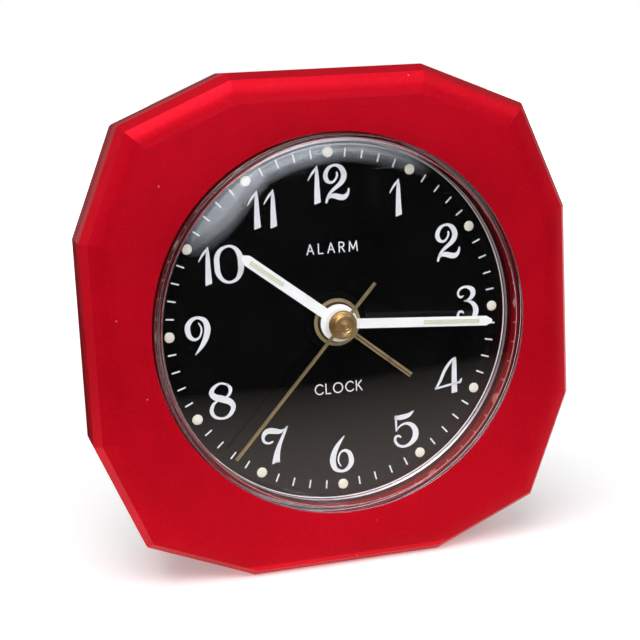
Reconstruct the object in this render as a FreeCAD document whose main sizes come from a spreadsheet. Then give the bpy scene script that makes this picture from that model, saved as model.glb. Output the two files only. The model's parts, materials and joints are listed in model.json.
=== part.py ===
import FreeCAD, Part
import math
import os
import re
import Sketcher

# Travel alarm clock. Millimetres and degrees. The clock stands on its lower side and its dial faces -Y.
# Every sub-part is drawn in its own frame: x to the right as seen from the front, z up, and y the depth
# behind the front face of the case, measured from the part's own axis.

SIZES = (
    # case
    ("case_half", 41.3, "half the width and height of the case"),
    ("side_half", 16.3, "half the length of each of the four long sides"),
    ("corner_half", 34.0, "corners between the short sides, across and up"),
    ("base_depth", 5.0, "from the front face back to the origin under the case"),
    ("frame_depth", 7.0, "front frame, front to back"),
    ("front_plate", 2.2, "thickness of the frame's front"),
    ("wall", 1.8, "wall of the case mouldings"),
    ("border_reach", 3.3, "width of the sloping border round the front"),
    ("border_fall", 1.6, "how far the border falls back"),
    ("bevel_reach", 1.29, "outer bevel, measured along the border"),
    ("bevel_fall", 1.2, "outer bevel, measured down the side"),
    ("crown_round", 7.0, "rounding where the front turns into its border"),
    ("corner_round", 1.0, "rounding of the upright edges"),
    ("opening_radius", 31.3, "hole in the frame for the crystal"),
    ("seat_radius", 33.5, "inside of the ring that centres crystal and dial"),
    ("seat_wall", 1.2, "wall of that ring"),
    ("seat_depth", 4.7, "where that ring ends"),
    ("rim_start", 7.25, "front of the rear case's rim"),
    ("rim_end", 11.0, "back of the rim"),
    ("rim_round", 0.25, "rounding of the rim's back edge"),
    ("body_round", 3.5, "rounding of the rear body's upright edges"),
    ("case_depth", 26.0, "back of the rear case"),
    ("rear_scale", 0.95, "rear body against the rim, shrunk towards the base"),
    ("rear_round", 2.4, "rounding of the back edge"),
    ("tongue_start", 6.2, "front of the tongue that enters the frame"),
    ("tongue_half", 39.4, "half width of the tongue"),
    ("tongue_wall", 1.2, "thickness of the tongue"),
    ("boss_radius", 3.4, "screw bosses"),
    ("boss_upper_across", 28.2, "upper screws, from the centre line"),
    ("boss_upper_up", 26.2, "upper screws, above the dial axis"),
    ("boss_lower_across", 20.0, "lower screws, from the centre line"),
    ("boss_lower_up", -34.0, "lower screws, below the dial axis"),
    ("screw_radius", 1.2, "case screws"),
    ("screw_head_radius", 2.3, "heads of the case screws"),
    ("screw_head", 1.6, "height of those heads"),
    ("screw_slot_half", 0.575, "half width of the slot in those heads"),
    ("screw_slot_reach", 1.725, "half length of that slot"),
    ("screw_depth", 3.2, "front end of the case screws"),
    ("counterbore", 4.0, "depth of the screw wells in the back"),
    ("gap", 0.1, "easy fit between mouldings"),
    # crystal and dial
    ("crystal_radius", 31.05, "outside of the crystal's wall"),
    ("crystal_bore", 30.05, "inside of the crystal's wall"),
    ("crystal_flange", 33.2, "flange that the frame holds"),
    ("flange_front", 2.3, "front of that flange"),
    ("crystal_edge", 0.7, "bevel where wall and dome meet"),
    ("crystal_rise", 2.7, "height of the wall above the frame"),
    ("dome_rise", 1.6, "height of the dome above the wall"),
    ("crystal_thick", 1.2, "thickness of the dome"),
    ("dial_radius", 33.4, "dial"),
    ("dial_depth", 4.0, "front of the dial"),
    ("dial_thick", 0.8, "thickness of the dial"),
    ("dial_bore", 5.3, "hole in the middle of the dial"),
    # hands
    ("hour_angle", 308.0, "hour hand, clockwise from twelve"),
    ("minute_angle", 94.3, "minute hand"),
    ("second_angle", 222.8, "second hand"),
    ("alarm_angle", 129.3, "alarm hand"),
    ("alarm_hand_depth", 2.95, "front of the alarm hand"),
    ("hour_hand_depth", 2.0, "front of the hour hand"),
    ("minute_hand_depth", 1.0, "front of the minute hand"),
    ("second_hand_depth", 0.1, "front of the second hand"),
    ("hand_thick", 0.25, "thickness of the hands"),
    ("lume_proud", 0.06, "luminous fill above the hand"),
    ("alarm_hand_reach", 16.2, "length of the alarm hand"),
    ("alarm_hand_width", 0.85, "width of the alarm hand"),
    ("alarm_hub", 3.95, "hub of the alarm hand"),
    ("hour_hand_reach", 19.9, "length of the hour hand"),
    ("hour_hand_width", 1.75, "width of the hour hand"),
    ("hour_hub", 3.1, "hub of the hour hand"),
    ("hour_lume_start", 11.5, "inner end of its luminous fill"),
    ("hour_lume_end", 18.3, "outer end of its luminous fill"),
    ("minute_hand_reach", 26.7, "length of the minute hand"),
    ("minute_hand_width", 1.6, "width of the minute hand"),
    ("minute_hub", 2.6, "hub of the minute hand"),
    ("minute_lume_start", 14.5, "inner end of its luminous fill"),
    ("minute_lume_end", 24.4, "outer end of its luminous fill"),
    ("lume_width", 0.75, "width of the luminous fill"),
    ("nib_half", 0.28, "half width of the hands' narrow tips"),
    ("nib_length", 1.0, "length of those tips"),
    ("second_hand_reach", 27.9, "length of the second hand"),
    ("second_hand_tail", 8.7, "its tail, behind the centre"),
    ("second_hand_width", 0.55, "width of the second hand"),
    ("second_hub", 1.5, "hub of the second hand"),
    ("cap_radius", 2.2, "turned cap on the second hand"),
    ("cap_front", -0.9, "front of the cap"),
    ("cap_rim", 0.3, "bevel round the cap"),
    ("cap_dish_radius", 1.2, "turned hollow in the cap"),
    ("cap_dish", 0.25, "depth of that hollow"),
    # nested tubes at the dial axis
    ("fit", 0.08, "running fit, on the radius"),
    ("arbor_radius", 0.4, "steel arbor of the second hand"),
    ("cannon_radius", 1.3, "tube of the minute hand"),
    ("hour_tube_radius", 2.0, "tube of the hour hand"),
    ("alarm_tube_radius", 2.6, "tube of the alarm hand"),
    ("pivot_radius", 0.3, "thin arbors of the train"),
    # gear train
    ("addendum", 0.75, "tooth above the pitch circle, in modules"),
    ("dedendum", 1.15, "tooth below the pitch circle, in modules"),
    ("tooth_root_half", 0.62, "half width of a tooth at its root, in modules"),
    ("tooth_tip_half", 0.30, "half width of a tooth at its tip, in modules"),
    ("tooth_sunk", 0.2, "part of a tooth sunk into the wheel's rim, in modules"),
    ("pinion_teeth", 8, "leaves of the pinions behind the middle plate"),
    ("rotor_module", 0.2, "rotor pinion and intermediate wheel"),
    ("intermediate_teeth", 48, "intermediate wheel"),
    ("second_module", 0.3, "intermediate pinion and second wheel"),
    ("second_teeth", 40, "second wheel"),
    ("third_module", 0.2, "second pinion and third wheel"),
    ("third_teeth", 60, "third wheel"),
    ("centre_teeth", 64, "centre wheel"),
    ("motion_module", 0.3, "cannon pinion, motion wheel and setting pinion"),
    ("cannon_teeth", 12, "cannon pinion"),
    ("motion_teeth", 36, "motion wheel"),
    ("setting_teeth", 12, "pinion that sets the time"),
    ("motion_pinion_teeth", 10, "pinion of the motion wheel"),
    ("hour_teeth", 40, "hour wheel"),
    ("alarm_module", 0.3, "alarm wheel and its setting pinion"),
    ("alarm_teeth", 48, "alarm wheel"),
    ("alarm_pinion_teeth", 24, "pinion that sets the alarm"),
    ("third_bearing", 150.0, "third wheel, anticlockwise from +x about the dial axis"),
    ("intermediate_bearing", 35.0, "intermediate wheel about the dial axis"),
    ("rotor_bearing", 30.0, "rotor about the intermediate wheel"),
    ("motion_bearing", 205.0, "motion wheel about the dial axis"),
    ("setting_bearing", 200.0, "time setting shaft about the motion wheel"),
    ("alarm_bearing", 330.0, "alarm setting shaft about the dial axis"),
    ("alarm_wheel_depth", 6.6, "front of the alarm wheel"),
    ("alarm_wheel_thick", 0.7, "alarm wheel and its pinion"),
    ("hour_wheel_depth", 7.7, "front of the hour wheel"),
    ("wheel_thick", 0.6, "most wheels"),
    ("motion_pinion_depth", 7.6, "front of the motion pinion"),
    ("motion_wheel_depth", 8.8, "front of the motion wheel"),
    ("motion_wheel_thick", 0.7, "motion wheel"),
    ("cannon_pinion_depth", 8.7, "front of the cannon pinion"),
    ("cannon_pinion_long", 0.9, "cannon pinion"),
    ("cannon_end", 12.1, "back end of the cannon tube"),
    ("centre_wheel_depth", 11.4, "front of the centre wheel"),
    ("centre_hub_radius", 2.2, "hub of the centre wheel"),
    ("third_pinion_depth", 11.3, "front of the third pinion"),
    ("third_wheel_depth", 12.5, "front of the third wheel"),
    ("second_pinion_depth", 12.4, "front of the second pinion"),
    ("second_wheel_depth", 13.6, "front of the second wheel"),
    ("intermediate_pinion_depth", 13.5, "front of the intermediate pinion"),
    ("intermediate_wheel_depth", 14.5, "front of the intermediate wheel"),
    ("rotor_pinion_depth", 14.3, "front of the rotor pinion"),
    ("pinion_long", 0.8, "pinions behind the middle plate"),
    ("second_collar", 0.6, "collar between the second wheel and its pinion"),
    ("third_collar", 0.5, "collar between the third wheel and its pinion"),
    ("intermediate_collar", 0.8, "collar between the intermediate wheel and its pinion"),
    ("rotor_collar", 0.55, "collar between the rotor's pinion and magnet"),
    ("magnet_depth", 15.4, "front of the rotor magnet"),
    ("magnet_long", 2.4, "rotor magnet"),
    ("magnet_radius", 2.4, "rotor magnet"),
    # movement
    ("movement_half", 24.6, "half width of the movement"),
    ("movement_top", 24.6, "top of the movement above the dial axis"),
    ("movement_bottom", -12.0, "bottom of the movement"),
    ("plate_front", 4.8, "front of the movement's front plate"),
    ("plate_back", 6.2, "back of that plate"),
    ("plate_boss", 5.15, "boss that fills the hole in the dial"),
    ("plate_boss_front", 4.1, "front of that boss"),
    ("housing_back", 21.0, "back of the movement"),
    ("housing_wall", 1.2, "wall of the movement's housing"),
    ("middle_front", 10.0, "front of the middle plate"),
    ("middle_thick", 1.0, "thickness of the middle plate"),
    ("post_radius", 1.2, "posts between the plates"),
    ("post_across", 22.0, "posts, from the centre line"),
    ("post_upper", 22.0, "upper posts, above the dial axis"),
    ("post_lower", -9.0, "lower posts, below the dial axis"),
    ("support_across", 14.0, "upper supports of the movement, from the centre line"),
    ("support_up", -2.0, "side support of the movement, from the dial axis"),
    ("stud_radius", 0.5, "stud that the motion wheel turns on"),
    ("setting_shaft_radius", 1.0, "setting shafts"),
    ("movement_screw_radius", 0.8, "screws that hold the movement together"),
    ("movement_screw_head", 1.5, "radius of their heads"),
    ("movement_screw_head_long", 0.9, "height of their heads"),
    # motor and electronics
    ("stator_depth", 16.2, "front of the stator"),
    ("stator_thick", 0.8, "thickness of the stator"),
    ("stator_hole", 2.8, "hole round the rotor"),
    ("pole_half", 3.6, "half width of the stator round the rotor"),
    ("pole_shoulder", 4.2, "its right shoulder, from the rotor's axis"),
    ("pole_waist", 1.6, "its left shoulder, above the rotor's axis"),
    ("notch_half", 0.6, "half width of the notch between the arms"),
    ("notch_up", 3.9, "bottom of that notch, above the rotor's axis"),
    ("arm_top", 2.4, "ends of the arms, above the coil's axis"),
    ("arm_inner_foot", 3.4, "inner bend of the arms, below the coil's axis"),
    ("arm_outer_foot", 3.0, "outer bend of the arms, below the coil's axis"),
    ("coil_left", 2.0, "left end of the coil"),
    ("coil_right", 15.0, "right end of the coil"),
    ("coil_up", 19.0, "coil above the dial axis"),
    ("coil_radius", 2.8, "copper winding"),
    ("bobbin_radius", 1.3, "core of the bobbin"),
    ("bobbin_flange", 3.1, "flanges of the bobbin"),
    ("bobbin_flange_thick", 0.7, "thickness of those flanges"),
    ("stator_arm", 4.0, "width of the stator's arms"),
    ("board_left", 12.5, "circuit board, left edge"),
    ("board_right", 20.3, "circuit board, right edge"),
    ("board_bottom", -10.3, "circuit board, lower edge"),
    ("board_top", 0.5, "circuit board, upper edge"),
    ("board_depth", 13.5, "front of the circuit board"),
    ("board_thick", 0.8, "thickness of the circuit board"),
    ("board_post_in", 1.5, "posts under the board, from its corners"),
    ("contact_first", 5.0, "first buzzer pin, from the board's left edge"),
    ("contact_second", 1.0, "second buzzer pin, from the board's right edge"),
    ("contact_in", 0.8, "buzzer pins, from the board's upper edge"),
    ("chip_in", 3.2, "sealed chip, from the board's left edge"),
    ("chip_up", 6.2, "sealed chip, from the board's lower edge"),
    ("can_in", 0.8, "quartz crystal's can, from the board's left edge"),
    ("can_up", 1.8, "quartz crystal's can, from the board's lower edge"),
    ("chip_radius", 2.3, "sealed chip"),
    ("chip_thick", 0.9, "height of the sealed chip"),
    ("can_radius", 1.0, "quartz crystal's can"),
    ("can_long", 6.0, "length of that can"),
    ("buzzer_across", 20.0, "buzzer, from the centre line"),
    ("buzzer_up", 8.0, "buzzer, above the dial axis"),
    ("buzzer_radius", 9.0, "brass plate of the buzzer"),
    ("buzzer_plate", 0.3, "thickness of that plate"),
    ("buzzer_disc", 6.75, "ceramic disc on that plate"),
    ("buzzer_depth", 23.4, "front of the buzzer"),
    ("contact_radius", 0.35, "pins from the board to the buzzer"),
    ("spring_thick", 0.2, "alarm contact, a leaf spring"),
    ("spring_left", 4.0, "inner end of the leaf spring"),
    ("spring_right", 22.0, "outer end of the leaf spring"),
    ("spring_low", 6.2, "lower edge of the leaf spring"),
    ("spring_high", 8.2, "upper edge of the leaf spring"),
    # battery and its cover
    ("battery_up", -21.5, "battery axis below the dial axis"),
    ("battery_depth", 16.0, "battery axis behind the front face"),
    ("battery_radius", 7.1, "AA cell"),
    ("battery_half", 24.5, "half length of the cell's body"),
    ("nub_radius", 2.7, "positive cap of the cell"),
    ("nub_long", 1.1, "length of that cap"),
    ("bay_half", 26.0, "half length of the battery bay"),
    ("bay_half_up", 7.7, "half height of the battery bay"),
    ("bay_floor", 8.6, "front wall of the bay, inside"),
    ("bay_end_wall", 1.5, "thickness of the bay's ends"),
    ("bay_side_wall", 1.4, "thickness of the bay's long sides"),
    ("bay_floor_wall", 1.2, "thickness of the bay's front wall"),
    ("contact_thick", 0.4, "battery contacts"),
    ("cover_half", 28.4, "half width of the battery cover"),
    ("cover_half_up", 9.2, "half height of the battery cover"),
    ("cover_thick", 1.4, "thickness of the battery cover"),
    ("cover_tab_half", 15.0, "half length of the cover's tabs"),
    ("cover_tab_long", 2.2, "how far the tabs reach into the bay"),
    ("cover_tab_thick", 1.0, "thickness of the tabs"),
    ("cover_tab_gap", 0.3, "play between the tabs and the bay"),
    ("grip_ridges", 3, "ridges on the cover for a finger nail"),
    ("grip_half", 6.0, "half length of a ridge"),
    ("grip_start", 2.4, "first ridge, from the cover's upper edge"),
    ("grip_pitch", 1.6, "distance between the ridges"),
    ("grip_width", 0.8, "width of a ridge"),
    ("grip_height", 0.5, "height of a ridge"),
    ("contact_half", 4.0, "half width and height of the battery contacts"),
    # controls on the back
    ("knob_radius", 4.8, "setting knobs"),
    ("knob_start", 26.3, "front of the knobs"),
    ("knob_end", 29.6, "back of the knobs"),
    ("knob_ribs", 24, "ribs round a knob"),
    ("knob_rib", 0.3, "height of those ribs"),
    ("knob_rib_root", 0.4, "how deep the ribs are rooted in the knob"),
    ("knob_rib_foot", 0.35, "half width of a rib at its root"),
    ("knob_rib_tip", 0.15, "half width of a rib at its tip"),
    ("knob_rib_front", 0.4, "front of the ribs, from the knob's front"),
    ("knob_rib_back", 0.5, "back of the ribs, from the knob's back"),
    ("knob_cap", 1.0, "closed end of the knob behind its shaft"),
    ("dish_radius", 6.0, "shallow dish round a knob"),
    ("dish_depth", 0.8, "depth of that dish"),
    ("switch_across", -20.0, "alarm switch, from the centre line"),
    ("switch_up", 8.0, "alarm switch, above the dial axis"),
    ("switch_travel", 4.0, "travel of the alarm switch"),
    ("switch_stem_half", 1.5, "half width of its stem"),
    ("switch_knob_half", 2.7, "half width of its thumb piece"),
    ("switch_knob_half_up", 3.2, "half height of its thumb piece"),
    ("switch_knob_thick", 1.6, "back of its thumb piece, behind the case"),
    ("switch_foot", 0.9, "back of its foot, inside the case's back wall"),
    ("switch_rib", 0.4, "height of the ribs on its thumb piece"),
    ("switch_rib_half", 0.3, "half width of those ribs"),
    ("switch_rib_pitch", 1.7, "distance between those ribs"),
    ("sound_slots", 5, "slots in front of the buzzer"),
    ("sound_pitch", 2.6, "distance between the slots"),
    ("sound_slot_half", 0.6, "half width of a slot"),
    ("sound_slot_reach", 5.5, "half length of a slot"),
)

FRONT = "XZ_Plane"
SIDE = "YZ_Plane"
TURNED = "XY_Plane"
FUNCTIONS = ("cos", "sin", "sqrt")
VECTOR = FreeCAD.Vector

document = FreeCAD.newDocument("travel_alarm_clock")
sheet = document.addObject("Spreadsheet::Sheet", "Sizes")
for row, (alias, number, meaning) in enumerate(SIZES, start=1):
    sheet.set(f"A{row}", meaning)
    sheet.set(f"B{row}", str(number))
    sheet.setAlias(f"B{row}", alias)
document.recompute()
size = {alias: number for alias, number, meaning in SIZES}
subparts = []


def cells(formula):
    """The formula with every cell's alias written in full."""
    def full(word):
        name = word.group(0)
        return name if name in FUNCTIONS else "Sizes." + name
    return re.sub(r"[a-z][a-z_]+", full, formula)


def new_body(label, across="0", up="0", turn=None):
    """A sub-part whose own axis stands at this place, turned clockwise as seen from the front."""
    body = document.addObject("PartDesign::Body", label)
    body.Label = label
    if turn:
        body.Placement = FreeCAD.Placement(VECTOR(), FreeCAD.Rotation(VECTOR(0, 1, 0), 1))
        body.setExpression("Placement.Rotation.Angle", cells(turn))
    body.setExpression("Placement.Base.x", cells(across))
    body.setExpression("Placement.Base.y", cells("0 - base_depth"))
    body.setExpression("Placement.Base.z", cells(f"case_half + {up}"))
    subparts.append(body)
    return body


def new_sketch(body, plane, start="0", turn=0.0):
    """An empty sketch at this depth (or this far across), turned anticlockwise on its plane."""
    sketch = body.newObject("Sketcher::SketchObject", body.Label + "_sketch")
    role = [item for item in body.Origin.OriginFeatures if item.Role == plane]
    sketch.AttachmentSupport = [(role[0], "")]
    sketch.MapMode = "FlatFace"
    sketch.AttachmentOffset = FreeCAD.Placement(VECTOR(), FreeCAD.Rotation(VECTOR(0, 0, 1), turn))
    outward = "0 - " if plane == FRONT else ""
    sketch.setExpression("AttachmentOffset.Base.z", cells(f"{outward}({start})"))
    return sketch


def bind(sketch, kind, formula, *where):
    """One constraint of the sketch, bound to the cells."""
    number = sketch.addConstraint(Sketcher.Constraint(kind, *where, 1.0))
    sketch.setExpression(f"Constraints[{number}]", cells(formula))


def polygon(sketch, corners):
    """A closed outline of straight sides through these corners."""
    count = len(corners)
    turns = [2 * math.pi * corner / count for corner in range(count + 1)]
    ring = [VECTOR(math.cos(turn), math.sin(turn), 0) for turn in turns]
    sides = [sketch.addGeometry(Part.LineSegment(*ends)) for ends in zip(ring, ring[1:])]
    for side, following in zip(sides, sides[1:] + sides[:1]):
        sketch.addConstraint(Sketcher.Constraint("Coincident", side, 2, following, 1))
    for side, (across, up) in zip(sides, corners):
        bind(sketch, "DistanceX", across, side, 1)
        bind(sketch, "DistanceY", up, side, 1)
    return sketch


def rectangle(sketch, left, right, bottom, top):
    return polygon(sketch, ((left, bottom), (right, bottom), (right, top), (left, top)))


def circles(sketch, radius, centres=(("0", "0"),)):
    for place, (across, up) in enumerate(centres):
        circle = sketch.addGeometry(Part.Circle(VECTOR(4 * place, 0, 0), VECTOR(0, 0, 1), 1.0))
        bind(sketch, "DistanceX", across, circle, 3)
        bind(sketch, "DistanceY", up, circle, 3)
        bind(sketch, "Radius", radius, circle)
    return sketch


def pad(body, sketch, length):
    """Material from the sketch towards the back, or towards +x from a side sketch."""
    feature = body.newObject("PartDesign::Pad", body.Label + "_pad")
    feature.Profile = sketch
    feature.Reversed = sketch.AttachmentSupport[0][0].Role == FRONT
    feature.setExpression("Length", cells(length))
    document.recompute()
    return feature


def pocket(body, sketch, length):
    """A cut from the sketch towards the back."""
    before = body.Shape.Volume
    feature = body.newObject("PartDesign::Pocket", body.Label + "_pocket")
    feature.Profile = sketch
    feature.setExpression("Length", cells(length))
    document.recompute()
    if feature.Shape.Volume > before - 1e-6:
        raise RuntimeError("this pocket cuts nothing: " + feature.Name)
    return feature


def turned(body, corners):
    """A solid of revolution about the part's own axis: corners are radius and depth."""
    feature = body.newObject("PartDesign::Revolution", body.Label + "_turned")
    profile = polygon(new_sketch(body, TURNED), corners)
    feature.Profile = profile
    feature.ReferenceAxis = (profile, ["V_Axis"])
    feature.Angle = 360
    document.recompute()
    return feature


def tube(body, outer, inner, start, end):
    """A pad between two circles."""
    sketch = circles(new_sketch(body, FRONT, start), outer)
    return pad(body, circles(sketch, inner), f"{end} - ({start})")


def disc(body, radius, start, end, centres=(("0", "0"),)):
    return pad(body, circles(new_sketch(body, FRONT, start), radius, centres), f"{end} - ({start})")


def holes(body, radius, start, end, centres=(("0", "0"),)):
    return pocket(body, circles(new_sketch(body, FRONT, start), radius, centres), f"{end} - ({start})")


def block(body, left, right, bottom, top, start, end):
    sketch = rectangle(new_sketch(body, FRONT, start), left, right, bottom, top)
    return pad(body, sketch, f"{end} - ({start})")


def window(body, left, right, bottom, top, start, end):
    sketch = rectangle(new_sketch(body, FRONT, start), left, right, bottom, top)
    return pocket(body, sketch, f"{end} - ({start})")


def around(body, feature, count):
    """The feature repeated round the part's own axis."""
    pattern = body.newObject("PartDesign::PolarPattern", body.Label + "_ring")
    pattern.Originals = [feature]
    pattern.Axis = (feature.Profile[0], ["N_Axis"])
    pattern.Angle = 360
    pattern.setExpression("Occurrences", cells(count))
    body.Tip = pattern
    document.recompute()
    return pattern


def toothed(body, teeth, module, start, thick, phase, bore):
    """A toothed wheel; phase is the direction of its first tooth, anticlockwise from +x."""
    pitch = f"{teeth} * {module} / 2"
    root = f"{pitch} - dedendum * {module}"
    sketch = circles(new_sketch(body, FRONT, start), root)
    pad(body, circles(sketch, bore), thick)
    inner = f"{root} - tooth_sunk * {module}"
    tip = f"{pitch} + addendum * {module}"
    root_half = f"tooth_root_half * {module}"
    tip_half = f"tooth_tip_half * {module}"
    corners = ((inner, "0 - " + root_half), (tip, "0 - " + tip_half), (tip, tip_half), (inner, root_half))
    tooth = pad(body, polygon(new_sketch(body, FRONT, start, phase), corners), thick)
    around(body, tooth, teeth)


def meshed(phase, teeth, other_teeth, bearing):
    """Phase of a wheel that lies at this bearing from its mate and has a gap where the mate has a tooth."""
    return bearing + 180 + 180 / other_teeth - (phase - bearing) * teeth / other_teeth


def beside(start, teeth, mate_teeth, module, bearing):
    """The axis of a wheel in mesh with the wheel whose axis is given."""
    reach = f"({teeth} + {mate_teeth}) * {module} / 2"
    return (f"{start[0]} + {reach} * cos({bearing})", f"{start[1]} + {reach} * sin({bearing})")


def case_outline(scale, drop="0"):
    """The twelve corners of the case, shrunk about the dial axis and then lowered."""
    long_side, half, corner = (f"{name} * ({scale})" for name in ("side_half", "case_half", "corner_half"))
    quarter = ((long_side, half), (corner, corner), (half, long_side))
    corners = []
    for across_sign, up_sign in (("", ""), ("", "0 - "), ("0 - ", "0 - "), ("0 - ", "")):
        points = [(across_sign + across, f"{up_sign}{up} - ({drop})") for across, up in quarter]
        corners += points if (across_sign == "") == (up_sign == "") else points[::-1]
    return corners


def rounded(body, radius, wanted):
    """Rounds the edges that the test picks."""
    base = body.Tip
    names = [f"Edge{number}" for number, edge in enumerate(base.Shape.Edges, start=1) if wanted(edge)]
    feature = body.newObject("PartDesign::Fillet", body.Label + "_round")
    feature.Base = (base, names)
    feature.setExpression("Radius", cells(radius))
    document.recompute()
    if not feature.isValid():
        raise RuntimeError("this rounding failed: " + feature.Name)
    return feature


def bevelled(body, reach, fall, wanted):
    """Cuts a sloping border at the edges that the test picks: reach across the face, fall down its side."""
    base = body.Tip
    names = [f"Edge{number}" for number, edge in enumerate(base.Shape.Edges, start=1) if wanted(edge)]
    feature = body.newObject("PartDesign::Chamfer", body.Label + "_border")
    feature.Base = (base, names)
    feature.ChamferType = "Two distances"
    feature.FlipDirection = True
    feature.setExpression("Size", cells(reach))
    feature.setExpression("Size2", cells(fall))
    document.recompute()
    if not feature.isValid():
        raise RuntimeError("this border failed: " + feature.Name)
    return feature


def upright(start, lowest):
    """A test for the outline's edges that run from this depth to the back, above this height."""
    def test(edge):
        box = edge.BoundBox
        straight = box.XLength < 1e-6 and box.ZLength < 1e-6
        return straight and box.YMin > start - 1e-6 and box.ZMin > lowest - 1e-6
    return test


def at_depth(depth):
    """A test for the edges in the plane at this depth."""
    def test(edge):
        return abs(edge.BoundBox.YMin - depth) < 1e-6 and abs(edge.BoundBox.YMax - depth) < 1e-6
    return test


CENTRE = ("0", "0")
THIRD = beside(CENTRE, "pinion_teeth", "third_teeth", "third_module", "third_bearing")
INTERMEDIATE = beside(CENTRE, "second_teeth", "pinion_teeth", "second_module", "intermediate_bearing")
ROTOR = beside(INTERMEDIATE, "intermediate_teeth", "pinion_teeth", "rotor_module", "rotor_bearing")
MOTION = beside(CENTRE, "cannon_teeth", "motion_teeth", "motion_module", "motion_bearing")
SETTING = beside(MOTION, "motion_teeth", "setting_teeth", "motion_module", "setting_bearing")
ALARM_SETTING = beside(CENTRE, "alarm_teeth", "alarm_pinion_teeth", "alarm_module", "alarm_bearing")
CENTRE_MODULE = "(third_module * (pinion_teeth + third_teeth) / (pinion_teeth + centre_teeth))"
HOUR_MODULE = "(motion_module * (cannon_teeth + motion_teeth) / (motion_pinion_teeth + hour_teeth))"
BOSSES = (
    ("boss_upper_across", "boss_upper_up"),
    ("0 - boss_upper_across", "boss_upper_up"),
    ("boss_lower_across", "boss_lower_up"),
    ("0 - boss_lower_across", "boss_lower_up"),
)
POSTS = (
    ("post_across", "post_upper"),
    ("0 - post_across", "post_upper"),
    ("post_across", "post_lower"),
    ("0 - post_across", "post_lower"),
)
SUPPORTS = (
    ("support_across", "post_upper"),
    ("0 - support_across", "post_upper"),
    ("0 - post_across", "support_up"),
    ("post_across", "post_lower"),
)
CONTACTS = (("board_left + contact_first", "board_top - contact_in"),
            ("board_right - contact_second", "board_top - contact_in"))
INNER_SCALE = "(case_half - wall) / case_half"
HOUSING_INNER_BACK = "housing_back - housing_wall"
PIVOT_END = "housing_back - housing_wall / 2"


def make_front_frame():
    body = new_body("front_frame")
    pad(body, polygon(new_sketch(body, FRONT), case_outline("1")), "frame_depth")
    bevelled(body, "border_reach", "border_fall", at_depth(0))
    bevelled(body, "bevel_reach", "bevel_fall", at_depth(size["border_fall"]))
    rounded(body, "crown_round", at_depth(0))
    rounded(body, "corner_round", upright(0, -size["case_half"]))
    hollow = polygon(new_sketch(body, FRONT, "front_plate"), case_outline(INNER_SCALE))
    pocket(body, hollow, "frame_depth - front_plate")
    holes(body, "opening_radius", "0", "front_plate")
    tube(body, "seat_radius + seat_wall", "seat_radius", "front_plate", "seat_depth")
    disc(body, "boss_radius", "front_plate", "frame_depth", BOSSES)
    holes(body, "screw_radius + gap / 2", "screw_depth - gap", "frame_depth", BOSSES)


def make_crystal():
    """The clear cover: a wall, a shallow dome and a flange under the frame."""
    body = new_body("crystal")
    edge_radius = size["crystal_radius"] - size["crystal_edge"]
    wall_front = -size["crystal_rise"]
    top = wall_front - size["dome_rise"]
    underside = top + size["crystal_thick"]
    inner_front = wall_front + size["crystal_thick"]
    sketch = new_sketch(body, TURNED)

    def dome(radius, low, high):
        """Arc from the axis at high to this radius at low, its centre on the axis."""
        middle = high + (radius ** 2 + (low - high) ** 2) / (2 * (low - high))
        start = -math.pi / 2
        circle = Part.Circle(VECTOR(0, middle, 0), VECTOR(0, 0, 1), middle - high)
        end = start + math.asin(radius / (middle - high))
        arc = sketch.addGeometry(Part.ArcOfCircle(circle, start, end))
        sketch.addConstraint(Sketcher.Constraint("PointOnObject", arc, 3, -2))
        sketch.addConstraint(Sketcher.Constraint("PointOnObject", arc, 1, -2))
        return arc

    outer = dome(edge_radius, wall_front, top)
    inner = dome(size["crystal_bore"], inner_front, underside)
    corners = (
        (edge_radius, wall_front, "crystal_radius - crystal_edge", "0 - crystal_rise"),
        (size["crystal_radius"], wall_front + size["crystal_edge"], "crystal_radius",
         "crystal_edge - crystal_rise"),
        (size["crystal_radius"], size["flange_front"], "crystal_radius", "flange_front"),
        (size["crystal_flange"], size["flange_front"], "crystal_flange", "flange_front"),
        (size["crystal_flange"], size["dial_depth"], "crystal_flange", "dial_depth"),
        (size["crystal_bore"], size["dial_depth"], "crystal_bore", "dial_depth"),
        (size["crystal_bore"], inner_front, "crystal_bore", "crystal_thick - crystal_rise"),
    )
    points = [VECTOR(corner[0], corner[1], 0) for corner in corners]
    sides = [sketch.addGeometry(Part.LineSegment(*ends)) for ends in zip(points, points[1:])]
    for side, following in zip(sides, sides[1:]):
        sketch.addConstraint(Sketcher.Constraint("Coincident", side, 2, following, 1))
    axis = sketch.addGeometry(Part.LineSegment(VECTOR(0, underside, 0), VECTOR(0, top, 0)))
    joins = ((sides[-1], 2, inner, 2), (inner, 1, axis, 1), (axis, 2, outer, 1), (outer, 2, sides[0], 1))
    for join in joins:
        sketch.addConstraint(Sketcher.Constraint("Coincident", *join))
    for side, corner in zip(sides, corners):
        bind(sketch, "DistanceX", corner[2], side, 1)
        bind(sketch, "DistanceY", corner[3], side, 1)
    bind(sketch, "DistanceX", corners[-1][2], sides[-1], 2)
    bind(sketch, "DistanceY", corners[-1][3], sides[-1], 2)
    bind(sketch, "DistanceY", "0 - crystal_rise - dome_rise", axis, 2)
    bind(sketch, "DistanceY", "crystal_thick - crystal_rise - dome_rise", axis, 1)
    feature = body.newObject("PartDesign::Revolution", "crystal_turned")
    feature.Profile = sketch
    feature.ReferenceAxis = (sketch, ["V_Axis"])
    feature.Angle = 360
    document.recompute()


def make_dial():
    body = new_body("dial")
    tube(body, "dial_radius", "dial_bore", "dial_depth", "dial_depth + dial_thick")


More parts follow.
